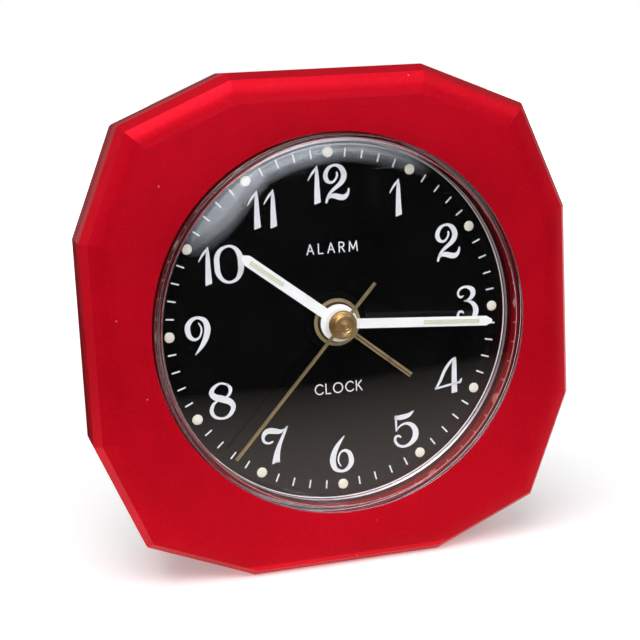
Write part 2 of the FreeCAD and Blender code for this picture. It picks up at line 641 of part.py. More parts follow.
def make_rear_case():
    body = new_body("rear_case")
    drop = "case_half * (1 - rear_scale)"
    pad(body, polygon(new_sketch(body, FRONT, "rim_start"), case_outline("1")), "rim_end - rim_start")
    rounded(body, "corner_round", upright(0, -size["case_half"]))
    rounded(body, "rim_round", at_depth(size["rim_end"]))
    rear = polygon(new_sketch(body, FRONT, "rim_end"), case_outline("rear_scale", drop))
    pad(body, rear, "case_depth - rim_end")
    rounded(body, "body_round", upright(size["rim_end"], -size["corner_half"] - 1))
    rounded(body, "rear_round", at_depth(size["case_depth"]))
    tongue = polygon(new_sketch(body, FRONT, "tongue_start"), case_outline("tongue_half / case_half"))
    pad(body, tongue, "rim_start - tongue_start")
    holes(body, "boss_radius + gap", "tongue_start", "rim_start", BOSSES)
    tongue_inner = "(tongue_half - tongue_wall) / case_half"
    mouth = polygon(new_sketch(body, FRONT, "tongue_start"), case_outline(tongue_inner))
    pocket(body, mouth, "rim_end - wall - tongue_start")
    inner_scale = "rear_scale - wall / case_half"
    hollow = polygon(new_sketch(body, FRONT, "rim_end - wall"), case_outline(inner_scale, drop))
    pocket(body, hollow, "case_depth - rim_end")
    inner_back = "case_depth - wall"
    disc(body, "boss_radius", "rim_start", inner_back, BOSSES)
    bay = ("0 - bay_half", "bay_half", "battery_up - bay_half_up", "battery_up + bay_half_up")
    block(body, "0 - bay_half - bay_end_wall", "bay_half + bay_end_wall",
          "battery_up - bay_half_up - bay_side_wall", "battery_up + bay_half_up + bay_side_wall",
          "bay_floor - bay_floor_wall", inner_back)
    window(body, *bay, "bay_floor", "case_depth")
    window(body, "0 - cover_half - gap", "cover_half + gap", "battery_up - cover_half_up - gap",
           "battery_up + cover_half_up + gap", "case_depth - cover_thick", "case_depth")
    disc(body, "post_radius", "housing_back", inner_back, SUPPORTS)
    holes(body, "screw_radius + gap / 2", "rim_start", "case_depth", BOSSES)
    holes(body, "screw_head_radius + gap", "case_depth - counterbore", "case_depth", BOSSES)
    controls = (SETTING, ALARM_SETTING)
    holes(body, "dish_radius", "case_depth - dish_depth", "case_depth", controls)
    holes(body, "setting_shaft_radius + 3 * gap", inner_back, "case_depth", controls)
    window(body, "switch_across - switch_stem_half - gap", "switch_across + switch_stem_half + gap",
           "switch_up - switch_stem_half - gap", "switch_up + switch_stem_half + switch_travel + gap",
           inner_back, "case_depth")
    first = "buzzer_across - sound_pitch * (sound_slots - 1) / 2"
    slot = window(body, f"{first} - sound_slot_half", f"{first} + sound_slot_half",
                  "buzzer_up - sound_slot_reach", "buzzer_up + sound_slot_reach", inner_back, "case_depth")
    row_of_slots = body.newObject("PartDesign::LinearPattern", "sound_slot_row")
    row_of_slots.Originals = [slot]
    row_of_slots.Direction = (slot.Profile[0], ["H_Axis"])
    row_of_slots.setExpression("Length", cells("sound_pitch * (sound_slots - 1)"))
    row_of_slots.setExpression("Occurrences", cells("sound_slots"))
    body.Tip = row_of_slots
    document.recompute()


def make_case_screws():
    body = new_body("case_screws")
    head_back = "case_depth - counterbore + screw_head"
    disc(body, "screw_head_radius", "case_depth - counterbore", head_back, BOSSES)
    disc(body, "screw_radius", "screw_depth", "case_depth - counterbore", BOSSES)
    slots = new_sketch(body, FRONT, f"{head_back} - screw_head / 2")
    for across, up in BOSSES:
        rectangle(slots, f"{across} - screw_slot_half", f"{across} + screw_slot_half",
                  f"{up} - screw_slot_reach", f"{up} + screw_slot_reach")
    pocket(body, slots, "screw_head / 2")


def make_battery_cover():
    body = new_body("battery_cover", up="battery_up")
    block(body, "0 - cover_half", "cover_half", "0 - cover_half_up", "cover_half_up",
          "case_depth - cover_thick", "case_depth")
    near = "bay_half_up - cover_tab_gap - cover_tab_thick"
    far = "bay_half_up - cover_tab_gap"
    for low, high in ((near, far), (f"0 - ({far})", f"0 - ({near})")):
        block(body, "0 - cover_tab_half", "cover_tab_half", low, high,
              "case_depth - cover_thick - cover_tab_long", "case_depth - cover_thick")
    for number in range(size["grip_ridges"]):
        low = f"cover_half_up - grip_start - grip_pitch * {number}"
        block(body, "0 - grip_half", "grip_half", low, f"{low} + grip_width", "case_depth",
              "case_depth + grip_height")


def make_battery():
    cell = new_body("battery_aa", up="battery_up")
    axis = (("battery_depth", "0"),)
    shell = circles(new_sketch(cell, SIDE, "0 - battery_half"), "battery_radius", axis)
    pad(cell, shell, "2 * battery_half")
    pad(cell, circles(new_sketch(cell, SIDE, "battery_half"), "nub_radius", axis), "nub_long")
    plate = ("battery_depth - contact_half", "battery_depth + contact_half", "0 - contact_half",
             "contact_half")
    positive = new_body("battery_contact_positive", up="battery_up")
    face = rectangle(new_sketch(positive, SIDE, "bay_half - contact_thick"), *plate)
    pad(positive, face, "contact_thick")
    negative = new_body("battery_contact_negative", up="battery_up")
    pad(negative, rectangle(new_sketch(negative, SIDE, "0 - bay_half"), *plate), "contact_thick")
    start = "contact_thick - bay_half"
    pad(negative, circles(new_sketch(negative, SIDE, start), "nub_radius", axis),
        f"0 - battery_half - ({start})")


def make_plates():
    """The three mouldings that carry the train, and the screws that hold them."""
    extent = ("0 - movement_half", "movement_half", "movement_bottom", "movement_top")
    front = new_body("movement_front_plate")
    block(front, *extent, "plate_front", "plate_back")
    disc(front, "plate_boss", "plate_boss_front", "plate_front")
    holes(front, "alarm_tube_radius + fit", "plate_boss_front", "plate_back")
    half_plate = "(plate_front + plate_back) / 2"
    holes(front, "setting_shaft_radius + fit", half_plate, "plate_back", (SETTING, ALARM_SETTING))
    housing = new_body("movement_rear_housing")
    block(housing, *extent, "plate_back", "housing_back")
    window(housing, "housing_wall - movement_half", "movement_half - housing_wall",
           "movement_bottom + housing_wall", "movement_top - housing_wall", "plate_back",
           HOUSING_INNER_BACK)
    holes(housing, "pivot_radius + fit", HOUSING_INNER_BACK, PIVOT_END, (THIRD, INTERMEDIATE, ROTOR))
    holes(housing, "arbor_radius + fit", HOUSING_INNER_BACK, PIVOT_END)
    holes(housing, "setting_shaft_radius + fit", HOUSING_INNER_BACK, "housing_back",
          (SETTING, ALARM_SETTING))
    arm_centres = (("coil_left - stator_arm / 2", "coil_up"), ("coil_right + stator_arm / 2", "coil_up"))
    disc(housing, "post_radius", "stator_depth + stator_thick", HOUSING_INNER_BACK, arm_centres)
    holes(housing, "contact_radius + gap", HOUSING_INNER_BACK, "housing_back", CONTACTS)
    middle = new_body("movement_middle_plate")
    inside = "housing_wall + gap"
    block(middle, f"{inside} - movement_half", f"movement_half - ({inside})",
          f"movement_bottom + {inside}", f"movement_top - ({inside})", "middle_front",
          "middle_front + middle_thick")
    disc(middle, "post_radius", "middle_front + middle_thick", HOUSING_INNER_BACK, POSTS)
    board_posts = (("board_left + board_post_in", "board_bottom + board_post_in"),
                   ("board_right - board_post_in", "board_top - board_post_in"))
    disc(middle, "post_radius / 2", "middle_front + middle_thick", "board_depth", board_posts)
    stud_front = "alarm_wheel_depth + alarm_wheel_thick + 2 * gap"
    disc(middle, "stud_radius", stud_front, "middle_front", (MOTION,))
    middle_back = "middle_front + middle_thick"
    holes(middle, "cannon_radius + fit", "middle_front", middle_back)
    holes(middle, "setting_shaft_radius + fit", "middle_front", middle_back, (SETTING, ALARM_SETTING))
    holes(middle, "pivot_radius + fit", "middle_front + middle_thick / 2", middle_back,
          (THIRD, INTERMEDIATE, ROTOR))
    screws = new_body("movement_screws")
    screw_places = POSTS[:2] + POSTS[3:]
    head_end = "housing_back + movement_screw_head_long"
    holes(housing, "movement_screw_radius", HOUSING_INNER_BACK, "housing_back", screw_places)
    holes(middle, "movement_screw_radius", "middle_front", HOUSING_INNER_BACK, screw_places)
    disc(screws, "movement_screw_head", "housing_back", head_end, screw_places)
    disc(screws, "movement_screw_radius", "middle_front", "housing_back", screw_places)


def make_motor():
    """The stepping motor: stator, coil and rotor."""
    stator = new_body("stator")
    left_arm = ("coil_left - stator_arm", "coil_left")
    right_arm = ("coil_right", "coil_right + stator_arm")
    rotor_across, rotor_up = (f"({formula})" for formula in ROTOR)
    corners = (
        (f"{rotor_across} - pole_half", f"{rotor_up} - pole_half"),
        (f"{rotor_across} + pole_half", f"{rotor_up} - pole_half"),
        (f"{rotor_across} + pole_shoulder", f"{rotor_up} + pole_half"),
        (right_arm[1], "coil_up - arm_outer_foot"),
        (right_arm[1], "coil_up + arm_top"),
        (right_arm[0], "coil_up + arm_top"),
        (right_arm[0], "coil_up - arm_inner_foot"),
        (f"{rotor_across} + notch_half", f"{rotor_up} + notch_up"),
        (f"{rotor_across} - notch_half", f"{rotor_up} + notch_up"),
        (left_arm[1], "coil_up - arm_inner_foot"),
        (left_arm[1], "coil_up + arm_top"),
        (left_arm[0], "coil_up + arm_top"),
        (left_arm[0], "coil_up - arm_outer_foot"),
        (f"{rotor_across} - pole_half", f"{rotor_up} + pole_waist"),
    )
    pad(stator, polygon(new_sketch(stator, FRONT, "stator_depth"), corners), "stator_thick")
    holes(stator, "stator_hole", "stator_depth", "stator_depth + stator_thick", (ROTOR,))
    core = (("stator_depth + stator_thick / 2", "0"),)
    bobbin = new_body("coil_bobbin", up="coil_up")
    barrel = circles(new_sketch(bobbin, SIDE, "coil_left + gap"), "bobbin_radius", core)
    pad(bobbin, barrel, "coil_right - coil_left - 2 * gap")
    for start in ("coil_left + gap", "coil_right - gap - bobbin_flange_thick"):
        flange = circles(new_sketch(bobbin, SIDE, start), "bobbin_flange", core)
        pad(bobbin, flange, "bobbin_flange_thick")
    winding = new_body("coil_winding", up="coil_up")
    ring = circles(new_sketch(winding, SIDE, "coil_left + gap + bobbin_flange_thick"), "coil_radius", core)
    pad(winding, circles(ring, "bobbin_radius", core),
        "coil_right - coil_left - 2 * gap - 2 * bobbin_flange_thick")
    magnet = new_body("rotor_magnet", *ROTOR)
    tube(magnet, "magnet_radius", "pivot_radius", "magnet_depth", "magnet_depth + magnet_long")


def make_electronics():
    board = new_body("circuit_board")
    block(board, "board_left", "board_right", "board_bottom", "board_top", "board_depth",
          "board_depth + board_thick")
    chip = new_body("clock_chip", "board_left + chip_in", "board_bottom + chip_up")
    disc(chip, "chip_radius", "board_depth - chip_thick", "board_depth")
    can = new_body("quartz_can", up="board_bottom + can_up")
    axis = (("board_depth + board_thick + can_radius", "0"),)
    pad(can, circles(new_sketch(can, SIDE, "board_left + can_in"), "can_radius", axis), "can_long")
    buzzer = new_body("piezo_buzzer", "buzzer_across", "buzzer_up")
    disc(buzzer, "buzzer_radius", "buzzer_depth", "buzzer_depth + buzzer_plate")
    disc(buzzer, "buzzer_disc", "buzzer_depth + buzzer_plate", "case_depth - wall")
    contacts = new_body("buzzer_contacts")
    disc(contacts, "contact_radius", "board_depth + board_thick", "buzzer_depth", CONTACTS)
    spring = new_body("alarm_contact_spring")
    block(spring, "spring_left", "spring_right", "spring_low", "spring_high", "plate_back",
          "plate_back + spring_thick")


def make_train():
    """The wheels behind the middle plate: rotor to second hand to minute hand."""
    second_pinion_phase = 0.0
    third_phase = meshed(second_pinion_phase, size["pinion_teeth"], size["third_teeth"],
                         size["third_bearing"])
    third_pinion_phase = 0.0
    centre_phase = meshed(third_pinion_phase, size["pinion_teeth"], size["centre_teeth"],
                          size["third_bearing"] + 180)
    second_phase = 0.0
    intermediate_pinion_phase = meshed(second_phase, size["second_teeth"], size["pinion_teeth"],
                                       size["intermediate_bearing"])
    intermediate_phase = 0.0
    rotor_phase = meshed(intermediate_phase, size["intermediate_teeth"], size["pinion_teeth"],
                         size["rotor_bearing"])
    arbor = new_body("second_arbor")
    disc(arbor, "arbor_radius", "second_hand_depth", PIVOT_END + " - gap")
    second = new_body("second_wheel")
    toothed(second, "pinion_teeth", "third_module", "second_pinion_depth", "pinion_long",
            second_pinion_phase, "arbor_radius")
    tube(second, "second_collar", "arbor_radius", "second_pinion_depth + pinion_long", "second_wheel_depth")
    toothed(second, "second_teeth", "second_module", "second_wheel_depth", "wheel_thick",
            second_phase, "arbor_radius")
    third = new_body("third_wheel", *THIRD)
    disc(third, "pivot_radius", "middle_front + middle_thick / 2 + gap", PIVOT_END + " - gap")
    toothed(third, "pinion_teeth", CENTRE_MODULE, "third_pinion_depth", "pinion_long",
            third_pinion_phase, "pivot_radius")
    tube(third, "third_collar", "pivot_radius", "third_pinion_depth + pinion_long", "third_wheel_depth")
    toothed(third, "third_teeth", "third_module", "third_wheel_depth", "wheel_thick",
            third_phase, "pivot_radius")
    centre = new_body("centre_wheel")
    toothed(centre, "centre_teeth", CENTRE_MODULE, "centre_wheel_depth", "wheel_thick",
            centre_phase, "cannon_radius + fit")
    tube(centre, "centre_hub_radius", "cannon_radius + fit", "centre_wheel_depth - 2 * gap",
         "centre_wheel_depth + wheel_thick")
    intermediate = new_body("intermediate_wheel", *INTERMEDIATE)
    disc(intermediate, "pivot_radius", "middle_front + middle_thick / 2 + gap", PIVOT_END + " - gap")
    toothed(intermediate, "pinion_teeth", "second_module", "intermediate_pinion_depth", "pinion_long",
            intermediate_pinion_phase, "pivot_radius")
    tube(intermediate, "intermediate_collar", "pivot_radius", "intermediate_pinion_depth + pinion_long",
         "intermediate_wheel_depth")
    toothed(intermediate, "intermediate_teeth", "rotor_module", "intermediate_wheel_depth", "wheel_thick",
            intermediate_phase, "pivot_radius")
    rotor = new_body("rotor_pinion", *ROTOR)
    disc(rotor, "pivot_radius", "middle_front + middle_thick / 2 + gap", PIVOT_END + " - gap")
    toothed(rotor, "pinion_teeth", "rotor_module", "rotor_pinion_depth", "pinion_long",
            rotor_phase, "pivot_radius")
    tube(rotor, "rotor_collar", "pivot_radius", "rotor_pinion_depth + pinion_long", "magnet_depth")


def make_motion_work():
    """The wheels in front of the middle plate, and the two setting shafts."""
    cannon_phase = 0.0
    motion_phase = meshed(cannon_phase, size["cannon_teeth"], size["motion_teeth"], size["motion_bearing"])
    setting_phase = meshed(motion_phase, size["motion_teeth"], size["setting_teeth"],
                           size["setting_bearing"])
    motion_pinion_phase = 0.0
    hour_phase = meshed(motion_pinion_phase, size["motion_pinion_teeth"], size["hour_teeth"],
                        size["motion_bearing"] + 180)
    alarm_phase = 0.0
    alarm_pinion_phase = meshed(alarm_phase, size["alarm_teeth"], size["alarm_pinion_teeth"],
                                size["alarm_bearing"])
    cannon = new_body("cannon_pinion")
    tube(cannon, "cannon_radius", "arbor_radius + fit", "minute_hand_depth", "cannon_end")
    toothed(cannon, "cannon_teeth", "motion_module", "cannon_pinion_depth", "cannon_pinion_long",
            cannon_phase, "cannon_radius")
    motion = new_body("motion_wheel", *MOTION)
    toothed(motion, "motion_pinion_teeth", HOUR_MODULE, "motion_pinion_depth",
            "motion_wheel_depth - motion_pinion_depth", motion_pinion_phase, "stud_radius + fit")
    toothed(motion, "motion_teeth", "motion_module", "motion_wheel_depth", "motion_wheel_thick",
            motion_phase, "stud_radius + fit")
    hour = new_body("hour_wheel")
    tube(hour, "hour_tube_radius", "cannon_radius + fit", "hour_hand_depth", "hour_wheel_depth")
    toothed(hour, "hour_teeth", HOUR_MODULE, "hour_wheel_depth", "wheel_thick", hour_phase,
            "cannon_radius + fit")
    alarm = new_body("alarm_wheel")
    tube(alarm, "alarm_tube_radius", "hour_tube_radius + fit", "alarm_hand_depth", "alarm_wheel_depth")
    toothed(alarm, "alarm_teeth", "alarm_module", "alarm_wheel_depth", "alarm_wheel_thick", alarm_phase,
            "hour_tube_radius + fit")
    shaft_start = "(plate_front + plate_back) / 2 + gap"
    for label, place, teeth, module, depth, thick, phase in (
        ("time_set_shaft", SETTING, "setting_teeth", "motion_module", "motion_wheel_depth",
         "motion_wheel_thick", setting_phase),
        ("alarm_set_shaft", ALARM_SETTING, "alarm_pinion_teeth", "alarm_module", "alarm_wheel_depth",
         "alarm_wheel_thick", alarm_pinion_phase),
    ):
        shaft = new_body(label, *place)
        disc(shaft, "setting_shaft_radius", shaft_start, "knob_end - knob_cap")
        toothed(shaft, teeth, module, depth, thick, phase, "setting_shaft_radius")


def make_hands():
    """Hands are drawn pointing to twelve and turned to their angles."""
    alarm = new_body("alarm_hand", turn="alarm_angle")
    end = "alarm_hand_depth + hand_thick"
    disc(alarm, "alarm_hub", "alarm_hand_depth", end)
    block(alarm, "0 - alarm_hand_width / 2", "alarm_hand_width / 2", "0", "alarm_hand_reach",
          "alarm_hand_depth", end)
    holes(alarm, "alarm_tube_radius", "alarm_hand_depth", end)
    for name, bore in (("hour", "hour_tube_radius"), ("minute", "cannon_radius")):
        hand = new_body(f"{name}_hand", turn=f"{name}_angle")
        front = f"{name}_hand_depth"
        back = f"{front} + hand_thick"
        half = f"{name}_hand_width / 2"
        shoulder = f"{name}_hand_reach - nib_length"
        disc(hand, f"{name}_hub", front, back)
        blade = (("0 - " + half, "0"), (half, "0"), (half, shoulder), ("nib_half", f"{name}_hand_reach"),
                 ("0 - nib_half", f"{name}_hand_reach"), ("0 - " + half, shoulder))
        pad(hand, polygon(new_sketch(hand, FRONT, front), blade), "hand_thick")
        holes(hand, bore, front, back)
        slot = ("0 - lume_width / 2", "lume_width / 2", f"{name}_lume_start", f"{name}_lume_end")
        window(hand, *slot, front, back)
        lume = new_body(f"{name}_lume", turn=f"{name}_angle")
        block(lume, *slot, f"{front} - lume_proud", back)
    second = new_body("second_hand", turn="second_angle")
    end = "second_hand_depth + hand_thick"
    disc(second, "second_hub", "second_hand_depth", end)
    block(second, "0 - second_hand_width / 2", "second_hand_width / 2", "0 - second_hand_tail",
          "second_hand_reach", "second_hand_depth", end)
    holes(second, "arbor_radius", "second_hand_depth", end)
    cap = new_body("second_cap")
    turned(cap, (
        ("0", "cap_front + cap_dish"),
        ("cap_dish_radius - cap_dish", "cap_front + cap_dish"),
        ("cap_dish_radius", "cap_front"),
        ("cap_radius - cap_rim", "cap_front"),
        ("cap_radius", "cap_front + cap_rim"),
        ("cap_radius", "second_hand_depth"),
        ("0", "second_hand_depth"),
    ))


def make_controls():
    for label, place in (("time_set_knob", SETTING), ("alarm_set_knob", ALARM_SETTING)):
        knob = new_body(label, *place)
        disc(knob, "knob_radius", "knob_start", "knob_end")
        root, reach = "knob_radius - knob_rib_root", "knob_radius + knob_rib"
        rib = ((root, "0 - knob_rib_foot"), (reach, "0 - knob_rib_tip"), (reach, "knob_rib_tip"),
               (root, "knob_rib_foot"))
        outline = polygon(new_sketch(knob, FRONT, "knob_start + knob_rib_front"), rib)
        ridge = pad(knob, outline, "knob_end - knob_rib_back - knob_start - knob_rib_front")
        around(knob, ridge, "knob_ribs")
        holes(knob, "setting_shaft_radius", "knob_start", "knob_end - knob_cap")
    switch = new_body("alarm_switch", "switch_across", "switch_up")
    block(switch, "0 - switch_knob_half", "switch_knob_half", "0 - switch_knob_half_up",
          "switch_knob_half_up", "case_depth + gap", "case_depth + switch_knob_thick")
    block(switch, "0 - switch_stem_half", "switch_stem_half", "0 - switch_stem_half", "switch_stem_half",
          "case_depth - wall - gap", "case_depth + gap")
    block(switch, "0 - switch_knob_half", "switch_knob_half", "0 - switch_stem_half", "switch_stem_half",
          "case_depth - wall - switch_foot", "case_depth - wall - gap")
    knob_back = "case_depth + switch_knob_thick"
    for number in (-1, 0, 1):
        middle = f"{number} * switch_rib_pitch"
        block(switch, "0 - switch_knob_half", "switch_knob_half", f"{middle} - switch_rib_half",
              f"{middle} + switch_rib_half", knob_back, f"{knob_back} + switch_rib")


make_front_frame()
make_crystal()
make_dial()
make_rear_case()
make_case_screws()
make_battery_cover()
make_battery()
make_plates()
make_motor()
make_electronics()
make_train()
make_motion_work()
make_hands()
make_controls()
document.recompute()

failed = [item.Name for item in document.Objects if {"Invalid", "Error"} & set(item.State)]
if failed:
    raise RuntimeError("these objects failed: " + ", ".join(failed))
for subpart in subparts:
    if subpart.Shape.isNull() or not subpart.Shape.isValid():
        raise RuntimeError("this sub-part has no valid shape: " + subpart.Label)
os.makedirs("parts", exist_ok=True)
for subpart in subparts:
    subpart.Shape.exportStep(f"parts/{subpart.Label}.step")
print(len(subparts), "sub-parts")
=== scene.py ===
import json
import math
import random

import bmesh
import bpy
from mathutils import Matrix, Vector


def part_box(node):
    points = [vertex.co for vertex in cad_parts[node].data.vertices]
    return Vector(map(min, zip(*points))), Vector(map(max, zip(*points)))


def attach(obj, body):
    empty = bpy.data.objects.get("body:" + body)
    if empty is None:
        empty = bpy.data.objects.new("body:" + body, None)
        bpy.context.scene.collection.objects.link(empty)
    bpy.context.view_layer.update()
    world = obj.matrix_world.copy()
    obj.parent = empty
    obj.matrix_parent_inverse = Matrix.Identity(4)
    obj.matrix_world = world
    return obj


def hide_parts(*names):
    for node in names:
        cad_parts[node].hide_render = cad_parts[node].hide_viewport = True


MM = 0.001

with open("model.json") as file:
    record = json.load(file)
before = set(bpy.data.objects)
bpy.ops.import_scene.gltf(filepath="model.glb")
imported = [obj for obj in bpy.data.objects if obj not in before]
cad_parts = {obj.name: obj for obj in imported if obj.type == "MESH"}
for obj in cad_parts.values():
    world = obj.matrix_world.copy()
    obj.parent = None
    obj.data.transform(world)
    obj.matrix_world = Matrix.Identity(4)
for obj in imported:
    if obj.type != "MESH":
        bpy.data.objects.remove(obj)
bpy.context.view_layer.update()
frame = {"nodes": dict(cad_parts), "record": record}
nodes = frame["nodes"]

dial_low, dial_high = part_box("dial")
# the middle of the dial's front: the hands turn about Y through it
AXIS = Vector(((dial_low.x + dial_high.x) / 2, dial_low.y, (dial_low.z + dial_high.z) / 2))


# ---------------------------------------------------------------- finishes

SPECK_CORE = 0.6  # full strength inside this share of a speck's radius
SCRATCH_CORE = 0.4  # and inside this share of a scratch's width
SCRATCH_STRETCH = 0.06  # scale of the pattern along a scratch, against across it
SCRATCH_PATCH = 1.3  # size of the scratched patches, against the scratches' spacing
SCRATCH_FADE = 0.06  # half the range of noise over which a patch fades out


class Finish:
    """A material being wired up: object coordinates in millimetres feed every pattern."""

    def __init__(self, name, color, roughness, **sockets):
        self.material = bpy.data.materials.new(name)
        self.material.use_nodes = True
        self.tree = self.material.node_tree
        self.shader = self.tree.nodes["Principled BSDF"]
        self.place = self.add("ShaderNodeTexCoord").outputs["Object"]
        self.color = self.steady(color)
        self.shader.inputs["Base Color"].default_value = (*color, 1)
        self.shader.inputs["Roughness"].default_value = roughness
        for socket, value in sockets.items():
            self.shader.inputs[socket.replace("_", " ")].default_value = value
        self.height = None

    def add(self, kind, **settings):
        node = self.tree.nodes.new(kind)
        for key, value in settings.items():
            setattr(node, key, value)
        return node

    def join(self, source, target):
        self.tree.links.new(source, target)

    def steady(self, color):
        """A colour for the first tint to start from."""
        node = self.add("ShaderNodeRGB")
        node.outputs[0].default_value = (*color, 1)
        return node.outputs[0]

    def scaled(self, size, stretch=(1, 1, 1), turn=(0, 0, 0)):
        """Object coordinates, with one unit every size millimetres."""
        mapping = self.add("ShaderNodeMapping")
        mapping.inputs["Scale"].default_value = [s / (size * MM) for s in stretch]
        mapping.inputs["Rotation"].default_value = [math.radians(t) for t in turn]
        self.join(self.place, mapping.inputs["Vector"])
        return mapping.outputs["Vector"]

    def noise(self, size, detail, stretch=(1, 1, 1)):
        """Soft noise, 0 to 1, with blots about size millimetres wide."""
        node = self.add("ShaderNodeTexNoise")
        node.inputs["Scale"].default_value = 1.0
        node.inputs["Detail"].default_value = detail
        self.join(self.scaled(size, stretch), node.inputs["Vector"])
        return node.outputs["Fac"]

    def ranged(self, value, low, high, to_low=0.0, to_high=1.0):
        """A value from low to high, mapped to to_low to to_high and held there beyond."""
        node = self.add("ShaderNodeMapRange")
        for socket, number in (
                ("From Min", low), ("From Max", high), ("To Min", to_low), ("To Max", to_high)):
            node.inputs[socket].default_value = number
        self.join(value, node.inputs["Value"])
        return node.outputs["Result"]

    def maths(self, operation, first, second=0.0):
        """A Math node's result. Each operand is a number or a socket."""
        node = self.add("ShaderNodeMath", operation=operation)
        for socket, value in zip(node.inputs, (first, second)):
            if isinstance(value, (int, float)):
                socket.default_value = value
            else:
                self.join(value, socket)
        return node.outputs[0]

    def specks(self, spacing, radius, share):
        """1 inside small round specks, one to a cell, in this share of the cells."""
        node = self.add("ShaderNodeTexVoronoi", feature="F1")
        node.inputs["Scale"].default_value = 1.0
        self.join(self.scaled(spacing), node.inputs["Vector"])
        edge = radius / spacing
        inside = self.ranged(node.outputs["Distance"], edge, SPECK_CORE * edge)
        split = self.add("ShaderNodeSeparateColor")
        self.join(node.outputs["Color"], split.inputs[0])
        chosen = self.maths("LESS_THAN", split.outputs[0], share)
        return self.maths("MULTIPLY", inside, chosen)

    def scratches(self, spacing, width, turn, share):
        """1 along thin scratches near the turned x axis, in this share of the surface."""
        node = self.add("ShaderNodeTexVoronoi", feature="DISTANCE_TO_EDGE")
        node.inputs["Scale"].default_value = 1.0
        self.join(self.scaled(spacing, (SCRATCH_STRETCH, 1, 1), turn), node.inputs["Vector"])
        edge = width / spacing
        line = self.ranged(node.outputs["Distance"], edge, SCRATCH_CORE * edge)
        patches = self.noise(spacing * SCRATCH_PATCH, 1.0)
        where = self.ranged(patches, 1 - share - SCRATCH_FADE, 1 - share + SCRATCH_FADE)
        return self.maths("MULTIPLY", line, where)

    def tint(self, factor, color, amount):
        """Mixes this amount of a colour in where factor is 1."""
        node = self.add("ShaderNodeMix", data_type="RGBA")
        self.join(self.maths("MULTIPLY", factor, amount), node.inputs["Factor"])
        self.join(self.color, node.inputs["A"])
        node.inputs["B"].default_value = (*color, 1)
        self.color = node.outputs["Result"]
        self.join(self.color, self.shader.inputs["Base Color"])

    def rough(self, factor, low, high):
        """Roughness from low to high as factor goes from 0 to 1."""
        self.join(self.ranged(factor, 0.0, 1.0, low, high), self.shader.inputs["Roughness"])

    def bump(self, factor, depth):
        """Relief of depth millimetres where factor is 1, on top of the relief so far."""
        node = self.add("ShaderNodeBump")
        node.inputs["Strength"].default_value = 1.0
        node.inputs["Distance"].default_value = depth * MM
        self.join(factor, node.inputs["Height"])
        if self.height is not None:
            self.join(self.height, node.inputs["Normal"])
        self.height = node.outputs["Normal"]
        self.join(self.height, self.shader.inputs["Normal"])

    def parts(self):
        """The X, Y and Z sockets of the object coordinates, in metres."""
        split = self.add("ShaderNodeSeparateXYZ")
        self.join(self.place, split.inputs[0])
        return split.outputs

    def radius(self):
        """Distance in millimetres from the dial's axis."""
        place = self.parts()
        across = self.maths("SUBTRACT", place["X"], AXIS.x)
        upward = self.maths("SUBTRACT", place["Z"], AXIS.z)
        squares = self.maths(
            "ADD", self.maths("MULTIPLY", across, across), self.maths("MULTIPLY", upward, upward))
        return self.maths("DIVIDE", self.maths("SQRT", squares), MM)

    def rings(self, pitch):
        """0 to 1 and back in rings round the dial's axis, as a lathe leaves them."""
        wave = self.maths("SINE", self.maths("MULTIPLY", self.radius(), 2 * math.pi / pitch))
        return self.ranged(wave, -1.0, 1.0)


def painted_red(name, color, deep, light, grain=1.0, gloss=1.0):
    """Satin lacquer with a fine metallic mottle, dust and handling marks."""
    finish = Finish(name, color, 0.42, Metallic=0.6, Specular_IOR_Level=0.1 * gloss,
                    Coat_Weight=0.06 * gloss, Coat_Roughness=0.3)
    # clouds, light flakes and dark flakes
    finish.tint(finish.ranged(finish.noise(9.0, 2.0), 0.35, 0.7), deep, 0.5)
    finish.tint(finish.ranged(finish.noise(0.42, 2.0), 0.45, 0.75), light, 0.34 * grain)
    finish.tint(finish.ranged(finish.noise(0.30, 1.0), 0.52, 0.3), deep, 0.45 * grain)
    # pale dust, dark specks and scratches
    dust = finish.specks(4.2, 0.16, 0.4)
    finish.tint(dust, (0.90, 0.42, 0.40), 0.7)
    finish.tint(finish.specks(3.1, 0.10, 0.25), (0.20, 0.0, 0.01), 0.5)
    finish.tint(finish.scratches(8.0, 0.09, (0, 38, 0), 0.25), (0.75, 0.22, 0.22), 0.35)
    finish.rough(finish.noise(3.0, 4.0), 0.36, 0.50)
    # orange peel, waves and the dust's relief
    finish.bump(finish.noise(0.22, 2.0), 0.012 * grain)
    finish.bump(finish.noise(2.4, 3.0), 0.02)
    finish.bump(dust, 0.03)
    return finish.material


def moulded(name, color, light, roughness=(0.35, 0.55), grain=0.12, depth=0.012, **sockets):
    """Moulded plastic with an etched texture and slight flow marks."""
    finish = Finish(name, color, roughness[0], **sockets)
    finish.tint(finish.ranged(finish.noise(6.0, 3.0, (1, 1, 0.4)), 0.35, 0.7), light, 0.45)
    dust = tuple(min(1.0, 1.6 * c + 0.04) for c in light)
    finish.tint(finish.specks(2.6, 0.06, 0.3), dust, 0.4)
    finish.rough(finish.noise(1.6, 4.0), *roughness)
    finish.bump(finish.noise(grain, 2.0), depth)
    return finish.material


def metal(name, color, worn, roughness=(0.18, 0.38), brush=(1, 1, 1), size=0.3, depth=0.006):
    """Bare metal with brush marks and tarnish."""
    finish = Finish(name, color, roughness[0], Metallic=1.0)
    finish.tint(finish.ranged(finish.noise(2.5, 4.0), 0.42, 0.75), worn, 0.6)
    finish.tint(finish.ranged(finish.noise(size, 2.0, brush), 0.5, 0.8), worn, 0.3)
    finish.rough(finish.noise(size, 3.0, brush), *roughness)
    finish.bump(finish.noise(size, 2.0, brush), depth)
    return finish.material


